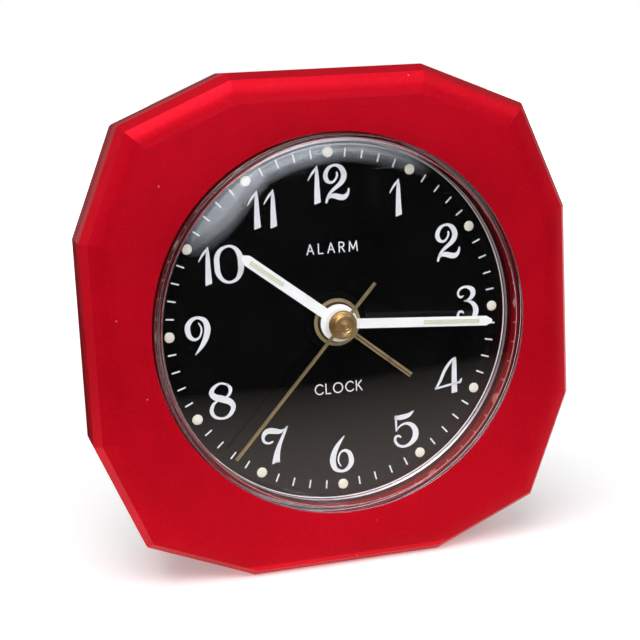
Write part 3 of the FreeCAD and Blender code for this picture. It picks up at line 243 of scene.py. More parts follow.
def clear(name, color, roughness):
    """Clear acrylic or styrene with hairlines: lamps shine through it."""
    finish = Finish(name, color, roughness, IOR=1.49, Transmission_Weight=1.0)
    hairs = finish.scratches(9.0, 0.05, (0, -55, 0), 0.3)
    finish.rough(hairs, roughness, 0.25)
    finish.bump(finish.noise(14.0, 1.0), 0.01)
    path = finish.add("ShaderNodeLightPath")
    through = finish.add("ShaderNodeBsdfTransparent")
    through.inputs["Color"].default_value = (*color, 1)
    mix = finish.add("ShaderNodeMixShader")
    finish.join(path.outputs["Is Shadow Ray"], mix.inputs["Fac"])
    finish.join(finish.shader.outputs[0], mix.inputs[1])
    finish.join(through.outputs[0], mix.inputs[2])
    finish.join(mix.outputs[0], finish.tree.nodes["Material Output"].inputs["Surface"])
    return finish.material


def dial_black():
    """Gloss black lacquer with dust and a few hairlines."""
    finish = Finish("dial_black", (0.0014, 0.0014, 0.0014), 0.09)
    finish.tint(finish.ranged(finish.noise(12.0, 3.0), 0.4, 0.75), (0.0035, 0.003, 0.0028), 0.7)
    dust = finish.specks(2.6, 0.085, 0.35)
    finish.tint(dust, (0.30, 0.29, 0.26), 0.55)
    hairs = finish.scratches(7.0, 0.05, (0, 62, 0), 0.25)
    finish.tint(hairs, (0.10, 0.10, 0.10), 0.6)
    finish.rough(finish.noise(5.0, 4.0), 0.06, 0.16)
    finish.bump(finish.noise(6.0, 2.0), 0.006)
    return finish.material


def ink(name, color, aged, **sockets):
    """Screen printing ink: slightly uneven, matt."""
    finish = Finish(name, color, 0.5, **sockets)
    finish.tint(finish.ranged(finish.noise(1.6, 3.0), 0.4, 0.75), aged, 0.5)
    finish.tint(finish.ranged(finish.noise(0.14, 2.0), 0.5, 0.75), aged, 0.35)
    finish.rough(finish.noise(0.5, 2.0), 0.42, 0.6)
    finish.bump(finish.noise(0.16, 2.0), 0.004)
    return finish.material


def luminous(name, color, light, aged, glow=0.0):
    """Aged luminous paint: a grainy paste."""
    finish = Finish(name, color, 0.7, Emission_Strength=glow)
    finish.tint(finish.ranged(finish.noise(0.5, 3.0), 0.4, 0.7), light, 0.8)
    finish.tint(finish.ranged(finish.noise(0.18, 2.0), 0.5, 0.75), aged, 0.5)
    finish.bump(finish.noise(0.16, 3.0), 0.03)
    return finish.material


def turned_brass(name, color, worn):
    """Brass turned on a lathe, its rings round the dial's axis."""
    finish = Finish(name, color, 0.25, Metallic=1.0)
    rings = finish.rings(0.24)
    finish.tint(rings, worn, 0.45)
    finish.tint(finish.ranged(finish.noise(0.7, 4.0), 0.45, 0.7), worn, 0.6)
    finish.tint(finish.ranged(finish.noise(1.9, 2.0), 0.55, 0.75), (0.30, 0.17, 0.07), 0.5)
    finish.rough(finish.noise(0.4, 3.0), 0.2, 0.42)
    finish.bump(rings, 0.01)
    finish.bump(finish.noise(0.12, 2.0), 0.004)
    return finish.material


def grooved_gold():
    """The alarm hand: gilt brass with painted shade at its hub and in its groove, the groove's relief,
    and a touch of red paint.
    """
    finish = Finish("hand_gold_grooved", (0.66, 0.52, 0.27), 0.3, Metallic=0.8)
    low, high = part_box("alarm_hand")
    tip = Vector((high.x - AXIS.x, 0, low.z - AXIS.z)).normalized()
    offset = finish.add("ShaderNodeVectorMath", operation="SUBTRACT")
    finish.join(finish.place, offset.inputs[0])
    offset.inputs[1].default_value = AXIS

    def measured(direction):
        """Millimetres from the dial's axis in this direction."""
        dot = finish.add("ShaderNodeVectorMath", operation="DOT_PRODUCT")
        finish.join(offset.outputs[0], dot.inputs[0])
        dot.inputs[1].default_value = direction / MM
        return dot.outputs["Value"]

    groove_edge, groove_floor, groove_start = 0.13, 0.07, 4.0
    shaded_hub = 3.4
    paint_middle, paint_half = 11.4, 0.45
    along = measured(tip)
    across = finish.maths("ABSOLUTE", measured(Vector((tip.z, 0, -tip.x))))
    groove = finish.maths("MULTIPLY", finish.ranged(across, groove_edge, groove_floor),
                          finish.maths("GREATER_THAN", along, groove_start))
    finish.tint(finish.ranged(finish.noise(0.8, 3.0), 0.45, 0.7), (0.42, 0.29, 0.13), 0.5)
    # painted shade: the groove darkened
    finish.tint(groove, (0.05, 0.035, 0.02), 0.85)
    # painted shade: the hub darkened
    finish.tint(finish.maths("LESS_THAN", finish.radius(), shaded_hub), (0.02, 0.015, 0.01), 0.9)
    off_middle = finish.maths("ABSOLUTE", finish.maths("SUBTRACT", along, paint_middle))
    finish.tint(finish.maths("LESS_THAN", off_middle, paint_half), (0.32, 0.08, 0.09), 0.6)
    finish.rough(finish.noise(0.4, 3.0), 0.25, 0.45)
    finish.bump(groove, -0.05)
    return finish.material


def striped_cell():
    """A cell's printed sleeve: dark with a copper-coloured end."""
    finish = Finish("cell_sleeve", (0.02, 0.02, 0.024), 0.3, Metallic=0.3)
    low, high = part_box("battery_aa")
    dark_share = 0.7
    end = finish.maths("GREATER_THAN", finish.parts()["X"], low.x + dark_share * (high.x - low.x))
    finish.tint(end, (0.62, 0.30, 0.12), 1.0)
    finish.tint(finish.ranged(finish.noise(4.0, 3.0), 0.4, 0.7), (0.10, 0.09, 0.09), 0.3)
    finish.rough(finish.noise(1.0, 3.0), 0.22, 0.4)
    finish.bump(finish.noise(2.0, 2.0, (0.2, 1, 1)), 0.01)
    return finish.material


# slot: finish
FINISHES = {
    "red_case": painted_red(
        "red_lacquer", (0.65, 0.0006, 0.013), (0.50, 0.0003, 0.008), (0.79, 0.002, 0.032)),
    "rear_red": painted_red(
        "rear_red_lacquer", (0.40, 0.004, 0.008), (0.28, 0.002, 0.004), (0.50, 0.009, 0.015), 1.2, 0.3),
    "cover_red": painted_red(
        "cover_red_lacquer", (0.42, 0.006, 0.011), (0.30, 0.003, 0.006), (0.52, 0.012, 0.02), 1.2, 0.3),
    "clear_acrylic": clear("clear_acrylic", (0.985, 0.99, 0.995), 0.012),
    "black_dial": dial_black(),
    # the white print glows faintly: painted light that brightens it
    "print_white": ink(
        "print_white", (0.95, 0.96, 1.0), (0.86, 0.88, 0.93), Emission_Strength=0.08),
    "lume": luminous("lume_cream", (0.95, 0.88, 0.70), (1.0, 0.97, 0.86), (0.84, 0.73, 0.52), 0.12),
    # the hands' white paint glows: painted light that brightens them
    "white_hand": ink(
        "hand_white", (0.96, 0.96, 0.95), (0.88, 0.88, 0.86), Emission_Strength=0.2),
    "gold_hand": metal(
        "hand_gold", (0.66, 0.52, 0.27), (0.40, 0.28, 0.12), (0.25, 0.45), size=0.35),
    "brass": turned_brass("turned_brass", (0.74, 0.50, 0.22), (0.48, 0.29, 0.11)),
    "steel": metal("steel", (0.60, 0.60, 0.62), (0.40, 0.40, 0.42), (0.2, 0.4), (1, 1, 0.1)),
    "spring_steel": metal("spring_steel", (0.66, 0.65, 0.62), (0.44, 0.42, 0.38), (0.16, 0.36)),
    "copper": metal(
        "copper_wire", (0.62, 0.22, 0.09), (0.36, 0.11, 0.05), (0.25, 0.45), (6, 0.4, 0.4), 0.6, 0.03),
    "magnet": metal("magnet", (0.12, 0.12, 0.13), (0.06, 0.06, 0.07), (0.4, 0.6)),
    "board_green": moulded(
        "board_green", (0.02, 0.16, 0.05), (0.04, 0.24, 0.09), (0.3, 0.45), 0.5, 0.01),
    "cell_jacket": striped_cell(),
    "black_plastic": moulded(
        "black_plastic", (0.014, 0.014, 0.015), (0.028, 0.028, 0.03), (0.3, 0.5)),
    "white_plastic": moulded("white_plastic", (0.80, 0.79, 0.75), (0.70, 0.68, 0.62), (0.35, 0.5)),
    "clear_plastic": clear("clear_styrene", (0.93, 0.95, 0.95), 0.06),
    "gear_plastic": moulded("gear_plastic", (0.74, 0.70, 0.60), (0.62, 0.56, 0.45), (0.35, 0.5)),
    "knob_plastic": moulded(
        "knob_plastic", (0.018, 0.018, 0.019), (0.04, 0.04, 0.042), (0.32, 0.5), 0.16, 0.014),
}
HAND_LUME = luminous("lume_green", (0.80, 0.86, 0.64), (0.90, 0.95, 0.80), (0.70, 0.74, 0.52))
# nodes whose finish differs from their slot's
OWN_FINISHES = {
    "hour_lume": HAND_LUME,
    "minute_lume": HAND_LUME,
    "alarm_hand": grooved_gold(),
    "movement_front_plate": moulded(
        "plate_black", (0.0025, 0.0025, 0.0026), (0.005, 0.005, 0.0052), (0.3, 0.45),
        Specular_IOR_Level=0.05),
}
for entry in frame["record"]["subparts"]:
    node = nodes[entry["node"]]
    node.data.materials.clear()
    node.data.materials.append(OWN_FINISHES.get(entry["node"], FINISHES[entry["material_slot"]]))


# ---------------------------------------------------------------- mesh helpers

INK_THICK = 0.02


def placed(name, data):
    """A new object in the scene."""
    made = bpy.data.objects.new(name, data)
    bpy.context.scene.collection.objects.link(made)
    return made


def built(name, mesh, material):
    """A new object made of a bmesh, in one material."""
    data = bpy.data.meshes.new(name)
    mesh.to_mesh(data)
    mesh.free()
    data.materials.append(material)
    return placed(name, data)


def piece(name, mesh, body, slot, finish=None):
    """A new piece from a bmesh: rides on a body, and wears the finish of a slot or one of its own."""
    made = built(name, mesh, finish or FINISHES[slot])
    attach(made, body)
    return made


def smoothed(made, angle=30):
    """Smooth shading, with edges sharper than the angle kept crisp."""
    made.data.shade_smooth()
    made.data.set_sharp_from_angle(angle=math.radians(angle))
    return made


SPLINE_STEPS = 8


def spline_through(points, closed):
    """Catmull-Rom samples through tuples of numbers."""
    count = len(points)
    spans = count if closed else count - 1
    out = []
    for i in range(spans):
        if closed:
            a, b, c, d = (points[(i + k) % count] for k in (-1, 0, 1, 2))
        else:
            a, b, c, d = (points[min(max(i + k, 0), count - 1)] for k in (-1, 0, 1, 2))
        for step in range(SPLINE_STEPS):
            t = step / SPLINE_STEPS
            out.append(tuple(
                0.5 * (2 * q + (r - p) * t + (2 * p - 5 * q + 4 * r - u) * t * t
                       + (3 * q - p - 3 * r + u) * t ** 3)
                for p, q, r, u in zip(a, b, c, d)))
    if not closed:
        out.append(points[-1])
    return out


CAP_STEPS = (0.35, 0.7, 0.92, 0.999)  # sections of a stroke's round end, in shares of its radius


def stroke_sections(stroke):
    """(left, right) pairs of 2D points along a brush stroke of (x, y, width), and whether it is closed.

    A stroke that starts with "loop" is closed. The others have round ends, but a fourth number in the
    last point cuts the end straight at that angle.
    """
    closed = stroke[0] == "loop"
    raw = stroke[1:] if closed else stroke
    cut = raw[-1][3] if len(raw[-1]) == 4 else None
    line = spline_through([p[:3] for p in raw], closed)
    sections = []
    count = len(line)
    for i, (x, y, width) in enumerate(line):
        if closed:
            before, after = line[i - 1], line[(i + 1) % count]
        else:
            before, after = line[max(i - 1, 0)], line[min(i + 1, count - 1)]
        along = Vector((after[0] - before[0], after[1] - before[1])).normalized()
        side = Vector((-along.y, along.x))
        if cut is not None and i == count - 1:
            side = Vector((math.cos(math.radians(cut)), math.sin(math.radians(cut))))
            if side.dot(Vector((-along.y, along.x))) < 0:
                side = -side
        middle = Vector((x, y))
        sections.append((middle + side * width / 2, middle - side * width / 2))
    if not closed:
        for end, sign in ((0, -1), (-1, 1)):
            if end == -1 and cut is not None:
                continue
            left, right = sections[end]
            middle, half = (left + right) / 2, (left - right) / 2
            along = Vector((half.y, -half.x)) * sign
            caps = []
            for step in CAP_STEPS:
                shrunk = half * math.sqrt(1 - step * step)
                caps.append((middle + along * step + shrunk, middle + along * step - shrunk))
            sections = sections + caps if end == -1 else caps[::-1] + sections
    return sections, closed


def brush(mesh, stroke, place):
    """Adds one stroke of ink: place(x, y, lift) puts it on the surface."""
    sections, closed = stroke_sections(stroke)
    rows = [
        [mesh.verts.new(place(p.x, p.y, lift)) for p in pair for lift in (0.0, INK_THICK)]
        for pair in sections
    ]
    pairs = list(zip(rows, rows[1:] + rows[:1])) if closed else list(zip(rows, rows[1:]))
    for (a0, a1, b0, b1), (c0, c1, d0, d1) in pairs:
        for face in ((a1, b1, d1, c1), (a0, a1, c1, c0), (b1, b0, d0, d1)):
            mesh.faces.new(face)
    if not closed:
        for a0, a1, b0, b1 in (rows[0], rows[-1]):
            mesh.faces.new((a0, a1, b1, b0))


# ---------------------------------------------------------------- dial printing

ONE = [
    [(0.018, 0.975, 0.03), (0.013, 0.78, 0.095), (0.004, 0.43, 0.135), (0.0, 0.018, 0.178, 17)],
    [(0.0, 0.93, 0.05), (-0.085, 0.835, 0.062), (-0.165, 0.73, 0.045), (-0.23, 0.625, 0.02)],
]
TWO = [
    [(0.371, 0.778, 0.05), (0.376, 0.706, 0.055), (0.330, 0.615, 0.055), (0.258, 0.547, 0.06),
     (0.176, 0.538, 0.075), (0.10, 0.588, 0.11), (0.059, 0.688, 0.12), (0.081, 0.805, 0.11),
     (0.158, 0.914, 0.085), (0.267, 0.968, 0.065), (0.385, 0.964, 0.08), (0.493, 0.887, 0.13),
     (0.557, 0.742, 0.15), (0.534, 0.606, 0.145), (0.457, 0.498, 0.12), (0.339, 0.407, 0.095),
     (0.222, 0.317, 0.08), (0.14, 0.226, 0.07), (0.086, 0.118, 0.07), (0.054, 0.027, 0.055)],
    [(0.113, 0.136, 0.05), (0.186, 0.181, 0.10), (0.294, 0.181, 0.135), (0.412, 0.145, 0.15),
     (0.52, 0.131, 0.14), (0.602, 0.172, 0.11), (0.656, 0.253, 0.07), (0.674, 0.339, 0.045)],
]
THREE = [
    [(0.165, 0.735, 0.035), (0.10, 0.705, 0.055), (0.035, 0.76, 0.06), (0.035, 0.86, 0.06),
     (0.12, 0.95, 0.06), (0.27, 0.975, 0.07), (0.42, 0.905, 0.13), (0.455, 0.79, 0.14),
     (0.39, 0.67, 0.10), (0.27, 0.605, 0.045), (0.20, 0.595, 0.03)],
    [(0.20, 0.60, 0.03), (0.33, 0.575, 0.06), (0.46, 0.49, 0.12), (0.525, 0.33, 0.155),
     (0.47, 0.14, 0.14), (0.33, 0.04, 0.085), (0.17, 0.03, 0.065), (0.04, 0.10, 0.07),
     (0.0, 0.22, 0.07), (0.05, 0.31, 0.065), (0.13, 0.31, 0.055), (0.165, 0.27, 0.035)],
]
FOUR = [
    [(0.61, 0.985, 0.03), (0.52, 0.93, 0.065), (0.40, 0.80, 0.08), (0.285, 0.64, 0.085),
     (0.165, 0.40, 0.08), (0.04, 0.205, 0.05)],
    [(0.60, 0.97, 0.07), (0.585, 0.86, 0.12), (0.575, 0.70, 0.135), (0.565, 0.40, 0.15),
     (0.558, 0.02, 0.165, 8)],
    [(0.02, 0.187, 0.055), (0.20, 0.215, 0.06), (0.45, 0.255, 0.06), (0.72, 0.296, 0.055)],
    [(0.715, 0.268, 0.03), (0.735, 0.31, 0.075), (0.775, 0.385, 0.035)],
]
FIVE = [
    [(0.085, 0.848, 0.10), (0.236, 0.848, 0.14), (0.418, 0.879, 0.12), (0.524, 0.939, 0.07),
     (0.59, 0.99, 0.02)],
    [(0.08, 0.89, 0.055), (0.08, 0.70, 0.055), (0.082, 0.50, 0.055)],
    [(0.085, 0.51, 0.03), (0.206, 0.62, 0.05), (0.358, 0.667, 0.07), (0.524, 0.606, 0.12),
     (0.624, 0.44, 0.16), (0.60, 0.242, 0.16), (0.448, 0.086, 0.10), (0.267, 0.036, 0.07),
     (0.115, 0.09, 0.075), (0.035, 0.217, 0.075), (0.055, 0.318, 0.07), (0.13, 0.348, 0.06),
     (0.19, 0.31, 0.05)],
]
SIX = [
    [(0.447, 0.995, 0.02), (0.34, 0.87, 0.075), (0.215, 0.70, 0.125), (0.125, 0.50, 0.155),
     (0.10, 0.31, 0.16), (0.165, 0.125, 0.125), (0.33, 0.042, 0.075), (0.49, 0.085, 0.10),
     (0.60, 0.22, 0.135), (0.615, 0.365, 0.14), (0.565, 0.52, 0.115), (0.45, 0.60, 0.075),
     (0.325, 0.555, 0.05), (0.262, 0.42, 0.045), (0.262, 0.29, 0.042), (0.32, 0.185, 0.03)],
]
SEVEN = [
    [(0.282, 0.617, 0.05), (0.207, 0.590, 0.055), (0.124, 0.602, 0.065), (0.056, 0.654, 0.075),
     (0.034, 0.737, 0.08), (0.064, 0.835, 0.11), (0.139, 0.902, 0.14), (0.244, 0.917, 0.155),
     (0.365, 0.895, 0.15), (0.492, 0.872, 0.115), (0.59, 0.895, 0.06), (0.65, 0.925, 0.05),
     (0.703, 0.981, 0.04)],
    [(0.703, 0.981, 0.035), (0.65, 0.88, 0.055), (0.575, 0.737, 0.08), (0.5075, 0.60, 0.095),
     (0.447, 0.459, 0.12), (0.395, 0.293, 0.155), (0.365, 0.143, 0.185), (0.351, 0.04, 0.215, 18)],
]
EIGHT = [
    [(0.525, 0.912, 0.06), (0.3375, 0.965, 0.05), (0.166, 0.881, 0.09), (0.0875, 0.74, 0.13),
     (0.18, 0.616, 0.165), (0.369, 0.547, 0.18), (0.556, 0.459, 0.165), (0.64, 0.319, 0.13),
     (0.556, 0.131, 0.10), (0.369, 0.037, 0.065), (0.15, 0.094, 0.08), (0.0625, 0.256, 0.105),
     (0.119, 0.428, 0.08), (0.2125, 0.5, 0.05)],
    [(0.525, 0.912, 0.06), (0.59, 0.80, 0.095), (0.556, 0.66, 0.075), (0.478, 0.60, 0.05)],
]
NINE = [[(0.71 - x, 1.0 - y, w) for x, y, w in SIX[0]]]
ZERO = [
    ["loop", (0.38, 0.965, 0.06), (0.18, 0.885, 0.095), (0.075, 0.71, 0.135), (0.065, 0.5, 0.14),
     (0.085, 0.29, 0.135), (0.20, 0.105, 0.09), (0.38, 0.035, 0.065), (0.57, 0.11, 0.095),
     (0.675, 0.30, 0.145), (0.69, 0.5, 0.155), (0.67, 0.71, 0.145), (0.56, 0.895, 0.095)],
]
GLYPH_HEIGHT = 6.3
# glyph, left edge (or stem for a one) and foot, in millimetres from the dial's axis
NUMERALS = (
    (ONE, -2.10, 19.55), (TWO, -0.95, 19.55),
    (ONE, 11.80, 16.55),
    (TWO, 18.10, 8.35),
    (THREE, 21.70, -2.50),
    (FOUR, 17.10, -14.55),
    (FIVE, 9.35, -23.0),
    (SIX, -2.25, -25.95),
    (SEVEN, -13.65, -23.05),
    (EIGHT, -22.15, -14.45),
    (NINE, -25.45, -3.25),
    (ONE, -20.90, 7.85), (ZERO, -19.80, 7.85),
    (ONE, -12.36, 16.25), (ONE, -9.65, 16.25),
)


def on_dial(x, z, lift):
    """A point in millimetres from the dial's axis, lifted off its front."""
    return AXIS + Vector((x * MM, -lift * MM, z * MM))


def print_numerals():
    mesh = bmesh.new()
    for glyph, left, foot in NUMERALS:
        def place(x, y, lift):
            return on_dial(left + x * GLYPH_HEIGHT, foot + y * GLYPH_HEIGHT, lift)
        for stroke in glyph:
            brush(mesh, stroke, place)
    piece("dial_numerals", mesh, "case", "print_white")


def print_ticks():
    mesh = bmesh.new()
    radii, width = (27.2, 27.8, 28.4), 0.26
    for minute in range(60):
        if minute % 5 == 0:
            continue
        turn = math.radians(6 * minute)
        out = Vector((math.sin(turn), math.cos(turn)))
        brush(mesh, [(*(out * r), width) for r in radii], on_dial)
    piece("minute_ticks", mesh, "case", "print_white")


def print_dots():
    """Domed dots of luminous paste, each a little uneven."""
    mesh = bmesh.new()
    rng = random.Random(5)
    ring_radius, dot_radius, around = 27.9, 0.86, 28
    uneven_radius, uneven_lift = 0.03, 0.01
    # share of the dot's radius and height of the paste there
    dome = ((1.0, 0.0), (0.97, 0.07), (0.86, 0.13), (0.6, 0.17), (0.3, 0.185))
    for hour in range(12):
        turn = math.radians(30 * hour)
        x, z = ring_radius * math.sin(turn), ring_radius * math.cos(turn)
        rings = []
        for share, lift in dome:
            ring = []
            for k in range(around):
                a = 2 * math.pi * k / around
                r = dot_radius * share * (1 + uneven_radius * rng.uniform(-1, 1))
                spot = (x + r * math.cos(a), z + r * math.sin(a))
                ring.append(mesh.verts.new(on_dial(*spot, lift + uneven_lift * rng.uniform(0, 1))))
            rings.append(ring)
        for low, high in zip(rings, rings[1:]):
            for k in range(around):
                n = (k + 1) % around
                mesh.faces.new((low[k], low[n], high[n], high[k]))
        mesh.faces.new(rings[-1])
    smoothed(piece("luminous_dots", mesh, "case", "lume"), 60)


# width and strokes of the plain capitals, in shares of their height
LETTERS = {
    "A": (0.70, [
        [(0.0, 0.0), (0.35, 1.0)], [(0.35, 1.0), (0.70, 0.0)], [(0.13, 0.33), (0.57, 0.33)]]),
    "C": (0.80, [
        [(0.80, 0.83), (0.66, 0.95), (0.46, 1.0), (0.20, 0.90), (0.04, 0.68), (0.0, 0.5), (0.04, 0.32),
         (0.20, 0.10), (0.46, 0.0), (0.66, 0.05), (0.80, 0.17)]]),
    "K": (0.58, [[(0.0, 0.0), (0.0, 1.0)], [(0.54, 1.0), (0.0, 0.42)], [(0.17, 0.60), (0.58, 0.0)]]),
    "L": (0.46, [[(0.0, 1.0), (0.0, 0.0)], [(0.0, 0.0), (0.46, 0.0)]]),
    "M": (0.86, [
        [(0.0, 0.0), (0.07, 1.0)], [(0.07, 1.0), (0.43, 0.18)], [(0.43, 0.18), (0.79, 1.0)],
        [(0.79, 1.0), (0.86, 0.0)]]),
    "O": (0.96, [
        ["loop", (0.48, 1.0), (0.14, 0.85), (0.0, 0.5), (0.14, 0.15), (0.48, 0.0), (0.82, 0.15),
         (0.96, 0.5), (0.82, 0.85)]]),
    "R": (0.54, [
        [(0.0, 0.0), (0.0, 1.0)],
        [(0.0, 1.0), (0.25, 0.99), (0.47, 0.90), (0.52, 0.74), (0.44, 0.57), (0.25, 0.50), (0.0, 0.49)],
        [(0.25, 0.49), (0.54, 0.0)]]),
}
LETTER_STROKE = 0.125


def print_word(name, text, height, foot, gap):
    """A printed word of plain strokes, centred above or below the dial's axis."""
    width = sum(LETTERS[c][0] for c in text) * height + gap * (len(text) - 1)
    left = -width / 2
    mesh = bmesh.new()
    for character in text:
        wide, strokes = LETTERS[character]
        for stroke in strokes:
            closed = stroke[0] == "loop"
            points = [(left + x * height, foot + y * height, LETTER_STROKE * height)
                      for x, y in stroke[closed:]]
            brush(mesh, ["loop", *points] if closed else points, on_dial)
        left += wide * height + gap
    piece(name, mesh, "case", "print_white")


# ---------------------------------------------------------------- printing on the back

def seen_from_behind(node):
    """Where a node's middle lies, from the dial's axis in millimetres, as seen from behind."""
    low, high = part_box(node)
    middle = (low + high) / 2
    return (AXIS.x - middle.x) / MM, (middle.z - AXIS.z) / MM


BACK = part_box("rear_case")[1].y
TIME_KNOB = seen_from_behind("time_set_knob")
ALARM_KNOB = seen_from_behind("alarm_set_knob")
SWITCH = seen_from_behind("alarm_switch")
COVER = seen_from_behind("battery_cover")


def on_back(across, up, lift):
    """A point on the back of the case, across as seen from behind, from the dial's axis."""
    return Vector((AXIS.x - across * MM, BACK + lift * MM, AXIS.z + up * MM))


def moved(stroke, across, up, size=1.0):
    """A stroke scaled and shifted."""
    closed = stroke[0] == "loop"
    out = [(across + size * x, up + size * y, size * w) for x, y, w in stroke[closed:]]
    return ["loop", *out] if closed else out


def on_circle(radius, angle):
    return radius * math.cos(math.radians(angle)), radius * math.sin(math.radians(angle))


def arc(radius, start, end, width, steps):
    """A stroke along part of a circle."""
    return [(*on_circle(radius, start + (end - start) * k / steps), width) for k in range(steps + 1)]


def lines(points, width):
    """Straight strokes from point to point."""
    return [[(*start, width), (*end, width)] for start, end in zip(points, points[1:])]


ICON_LINE = 0.28
CLOCK_ICON = [
    ["loop", *arc(1.7, 0, 330, ICON_LINE, 11)],
    *lines([(0, 0), (0, 1.05)], ICON_LINE),
    *lines([(0, 0), (0.75, 0.0)], ICON_LINE),
]
BELL_ICON = [
    [(x, y, ICON_LINE) for x, y in (
        (-1.45, -1.1), (-0.95, -0.6), (-0.85, 0.3), (-0.5, 1.0), (0, 1.25), (0.5, 1.0), (0.85, 0.3),
        (0.95, -0.6), (1.45, -1.1))],
    *lines([(-1.45, -1.1), (1.45, -1.1)], ICON_LINE),
    [(x, y, ICON_LINE) for x, y in ((-0.3, -1.6), (0.0, -1.72), (0.3, -1.6))],
    *lines([(0, 1.25), (0, 1.6)], ICON_LINE),
]
SLASH = [(-1.9, -1.9, ICON_LINE), (1.9, 1.9, ICON_LINE)]


def print_knob_symbols(mesh, knob, icon):
    """An icon above a knob, and an arrow round the knob's upper side."""
    icon_up = 9.6
    radius, first, last, line = 7.3, 40, 140, 0.3
    across, up = knob
    for stroke in icon:
        brush(mesh, moved(stroke, across, up + icon_up), on_back)
    brush(mesh, moved(arc(radius, first, last, line, 10), across, up), on_back)
    x, y = on_circle(radius, first)
    for angle in (75, 165):
        barb_x, barb_y = on_circle(1.1, angle)
        brush(mesh, moved([(x, y, line), (x + barb_x, y + barb_y, 0.22)], across, up), on_back)


def print_back():
    """Setting symbols: turning arrows, a clock face, a bell, and a crossed bell by the switch."""
    mesh = bmesh.new()
    print_knob_symbols(mesh, TIME_KNOB, CLOCK_ICON)
    print_knob_symbols(mesh, ALARM_KNOB, BELL_ICON)
    across, up = SWITCH
    on_up, off_across, off_up, size = 11.2, 5.6, -1.6, 0.9
    for stroke in BELL_ICON:
        brush(mesh, moved(stroke, across, up + on_up, size), on_back)
        brush(mesh, moved(stroke, across + off_across, up + off_up, size), on_back)
    brush(mesh, moved(SLASH, across + off_across, up + off_up), on_back)
    piece("back_symbols", mesh, "case", "print_white")


def print_cover():
    """The cell's outline between a plus and a minus sign."""
    mesh = bmesh.new()
    across, up = COVER
    reach, sign, bold, thin = 21, 1.2, 0.32, 0.24
    level, upright = [(-sign, 0, bold), (sign, 0, bold)], [(0, -sign, bold), (0, sign, bold)]
    for side, stroke in ((-reach, level), (-reach, upright), (reach, level)):
        brush(mesh, moved(stroke, across + side, up), on_back)
    half, tall, nub, nub_tall, down = 13, 2.6, 14.1, 1.1, 1.5
    cell = [(-half, -tall), (half, -tall), (half, tall), (-half, tall), (-half, -tall)]
    end = [(-half, nub_tall), (-nub, nub_tall), (-nub, -nub_tall), (-half, -nub_tall)]
    for stroke in lines(cell, thin) + lines(end, thin):
        brush(mesh, moved(stroke, across, up - down), on_back)
    piece("cover_symbols", mesh, "cover", "print_white")


print_numerals()
print_ticks()
print_dots()
print_back()
print_cover()
print_word("word_upper", "ALARM", 1.6, 11.45, 0.85)
print_word("word_lower", "CLOCK", 1.65, -12.1, 0.55)


# ---------------------------------------------------------------- crystal

def dome_line(radius, edge, middle):
    """(radius, depth) from the axis out, along an arc from middle to edge depth."""
    steps = 44
    sag = edge - middle
    ball = (radius ** 2 + sag ** 2) / (2 * sag)
    points = []
    for i in range(steps + 1):
        r = radius * i / steps
        points.append((r, middle + ball - math.sqrt(ball ** 2 - r ** 2)))
    return points


def fillet(before, corner, after, radius):
    """Points that round a corner of a profile."""
    steps = 8
    corner, before, after = (Vector(p) for p in (corner, before, after))
    a, b = (before - corner).normalized(), (after - corner).normalized()
    half = a.angle(b) / 2
    reach = radius / math.tan(half)
    centre = corner + (a + b).normalized() * radius / math.sin(half)
    start, end = corner + a * reach - centre, corner + b * reach - centre
    sweep = math.acos(max(-1.0, min(1.0, start.normalized().dot(end.normalized()))))
    out = []
    for i in range(steps + 1):
        t = i / steps
        p = (math.sin((1 - t) * sweep) * start + math.sin(t * sweep) * end) / math.sin(sweep)
        out.append(tuple(centre + p))
    return out


def revolve(name, profile, body, slot, around=192, closed=True, angle=30, finish=None):
    """Turns (radius, y) in millimetres round the dial's axis. An open profile starts and ends on it."""
    mesh = bmesh.new()
    rows = []
    for r, y in profile:
        if r == 0.0:
            rows.append([mesh.verts.new((AXIS.x, y * MM, AXIS.z))])
            continue
        rows.append([
            mesh.verts.new((AXIS.x + r * MM * math.cos(2 * math.pi * k / around), y * MM,
                            AXIS.z + r * MM * math.sin(2 * math.pi * k / around)))
            for k in range(around)
        ])
    pairs = list(zip(rows, rows[1:] + rows[:1])) if closed else list(zip(rows, rows[1:]))
    for one, other in pairs:
        for k in range(around):
            n = (k + 1) % around
            ring = []
            for row, place in ((one, k), (one, n), (other, n), (other, k)):
                v = row[place % len(row)]
                if v not in ring:
                    ring.append(v)
            if len(ring) > 2:
                mesh.faces.new(ring)
    bmesh.ops.recalc_face_normals(mesh, faces=mesh.faces)
    return smoothed(piece(name, mesh, body, slot, finish), angle)


CLEARANCE = 0.04  # between the moulding and the dial: room for the margin ring
LENS_WALL = 31.05  # outer radius of the crystal's wall
LENS_BORE = 30.15  # its inner radius
LENS_THICK = 1.1


def crystal_sides():
    """Radius of the crystal's flange, and the y of its front and back, in millimetres."""
    low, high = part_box("crystal")
    return (high.x - low.x) / 2 / MM, low.y / MM, high.y / MM - CLEARANCE


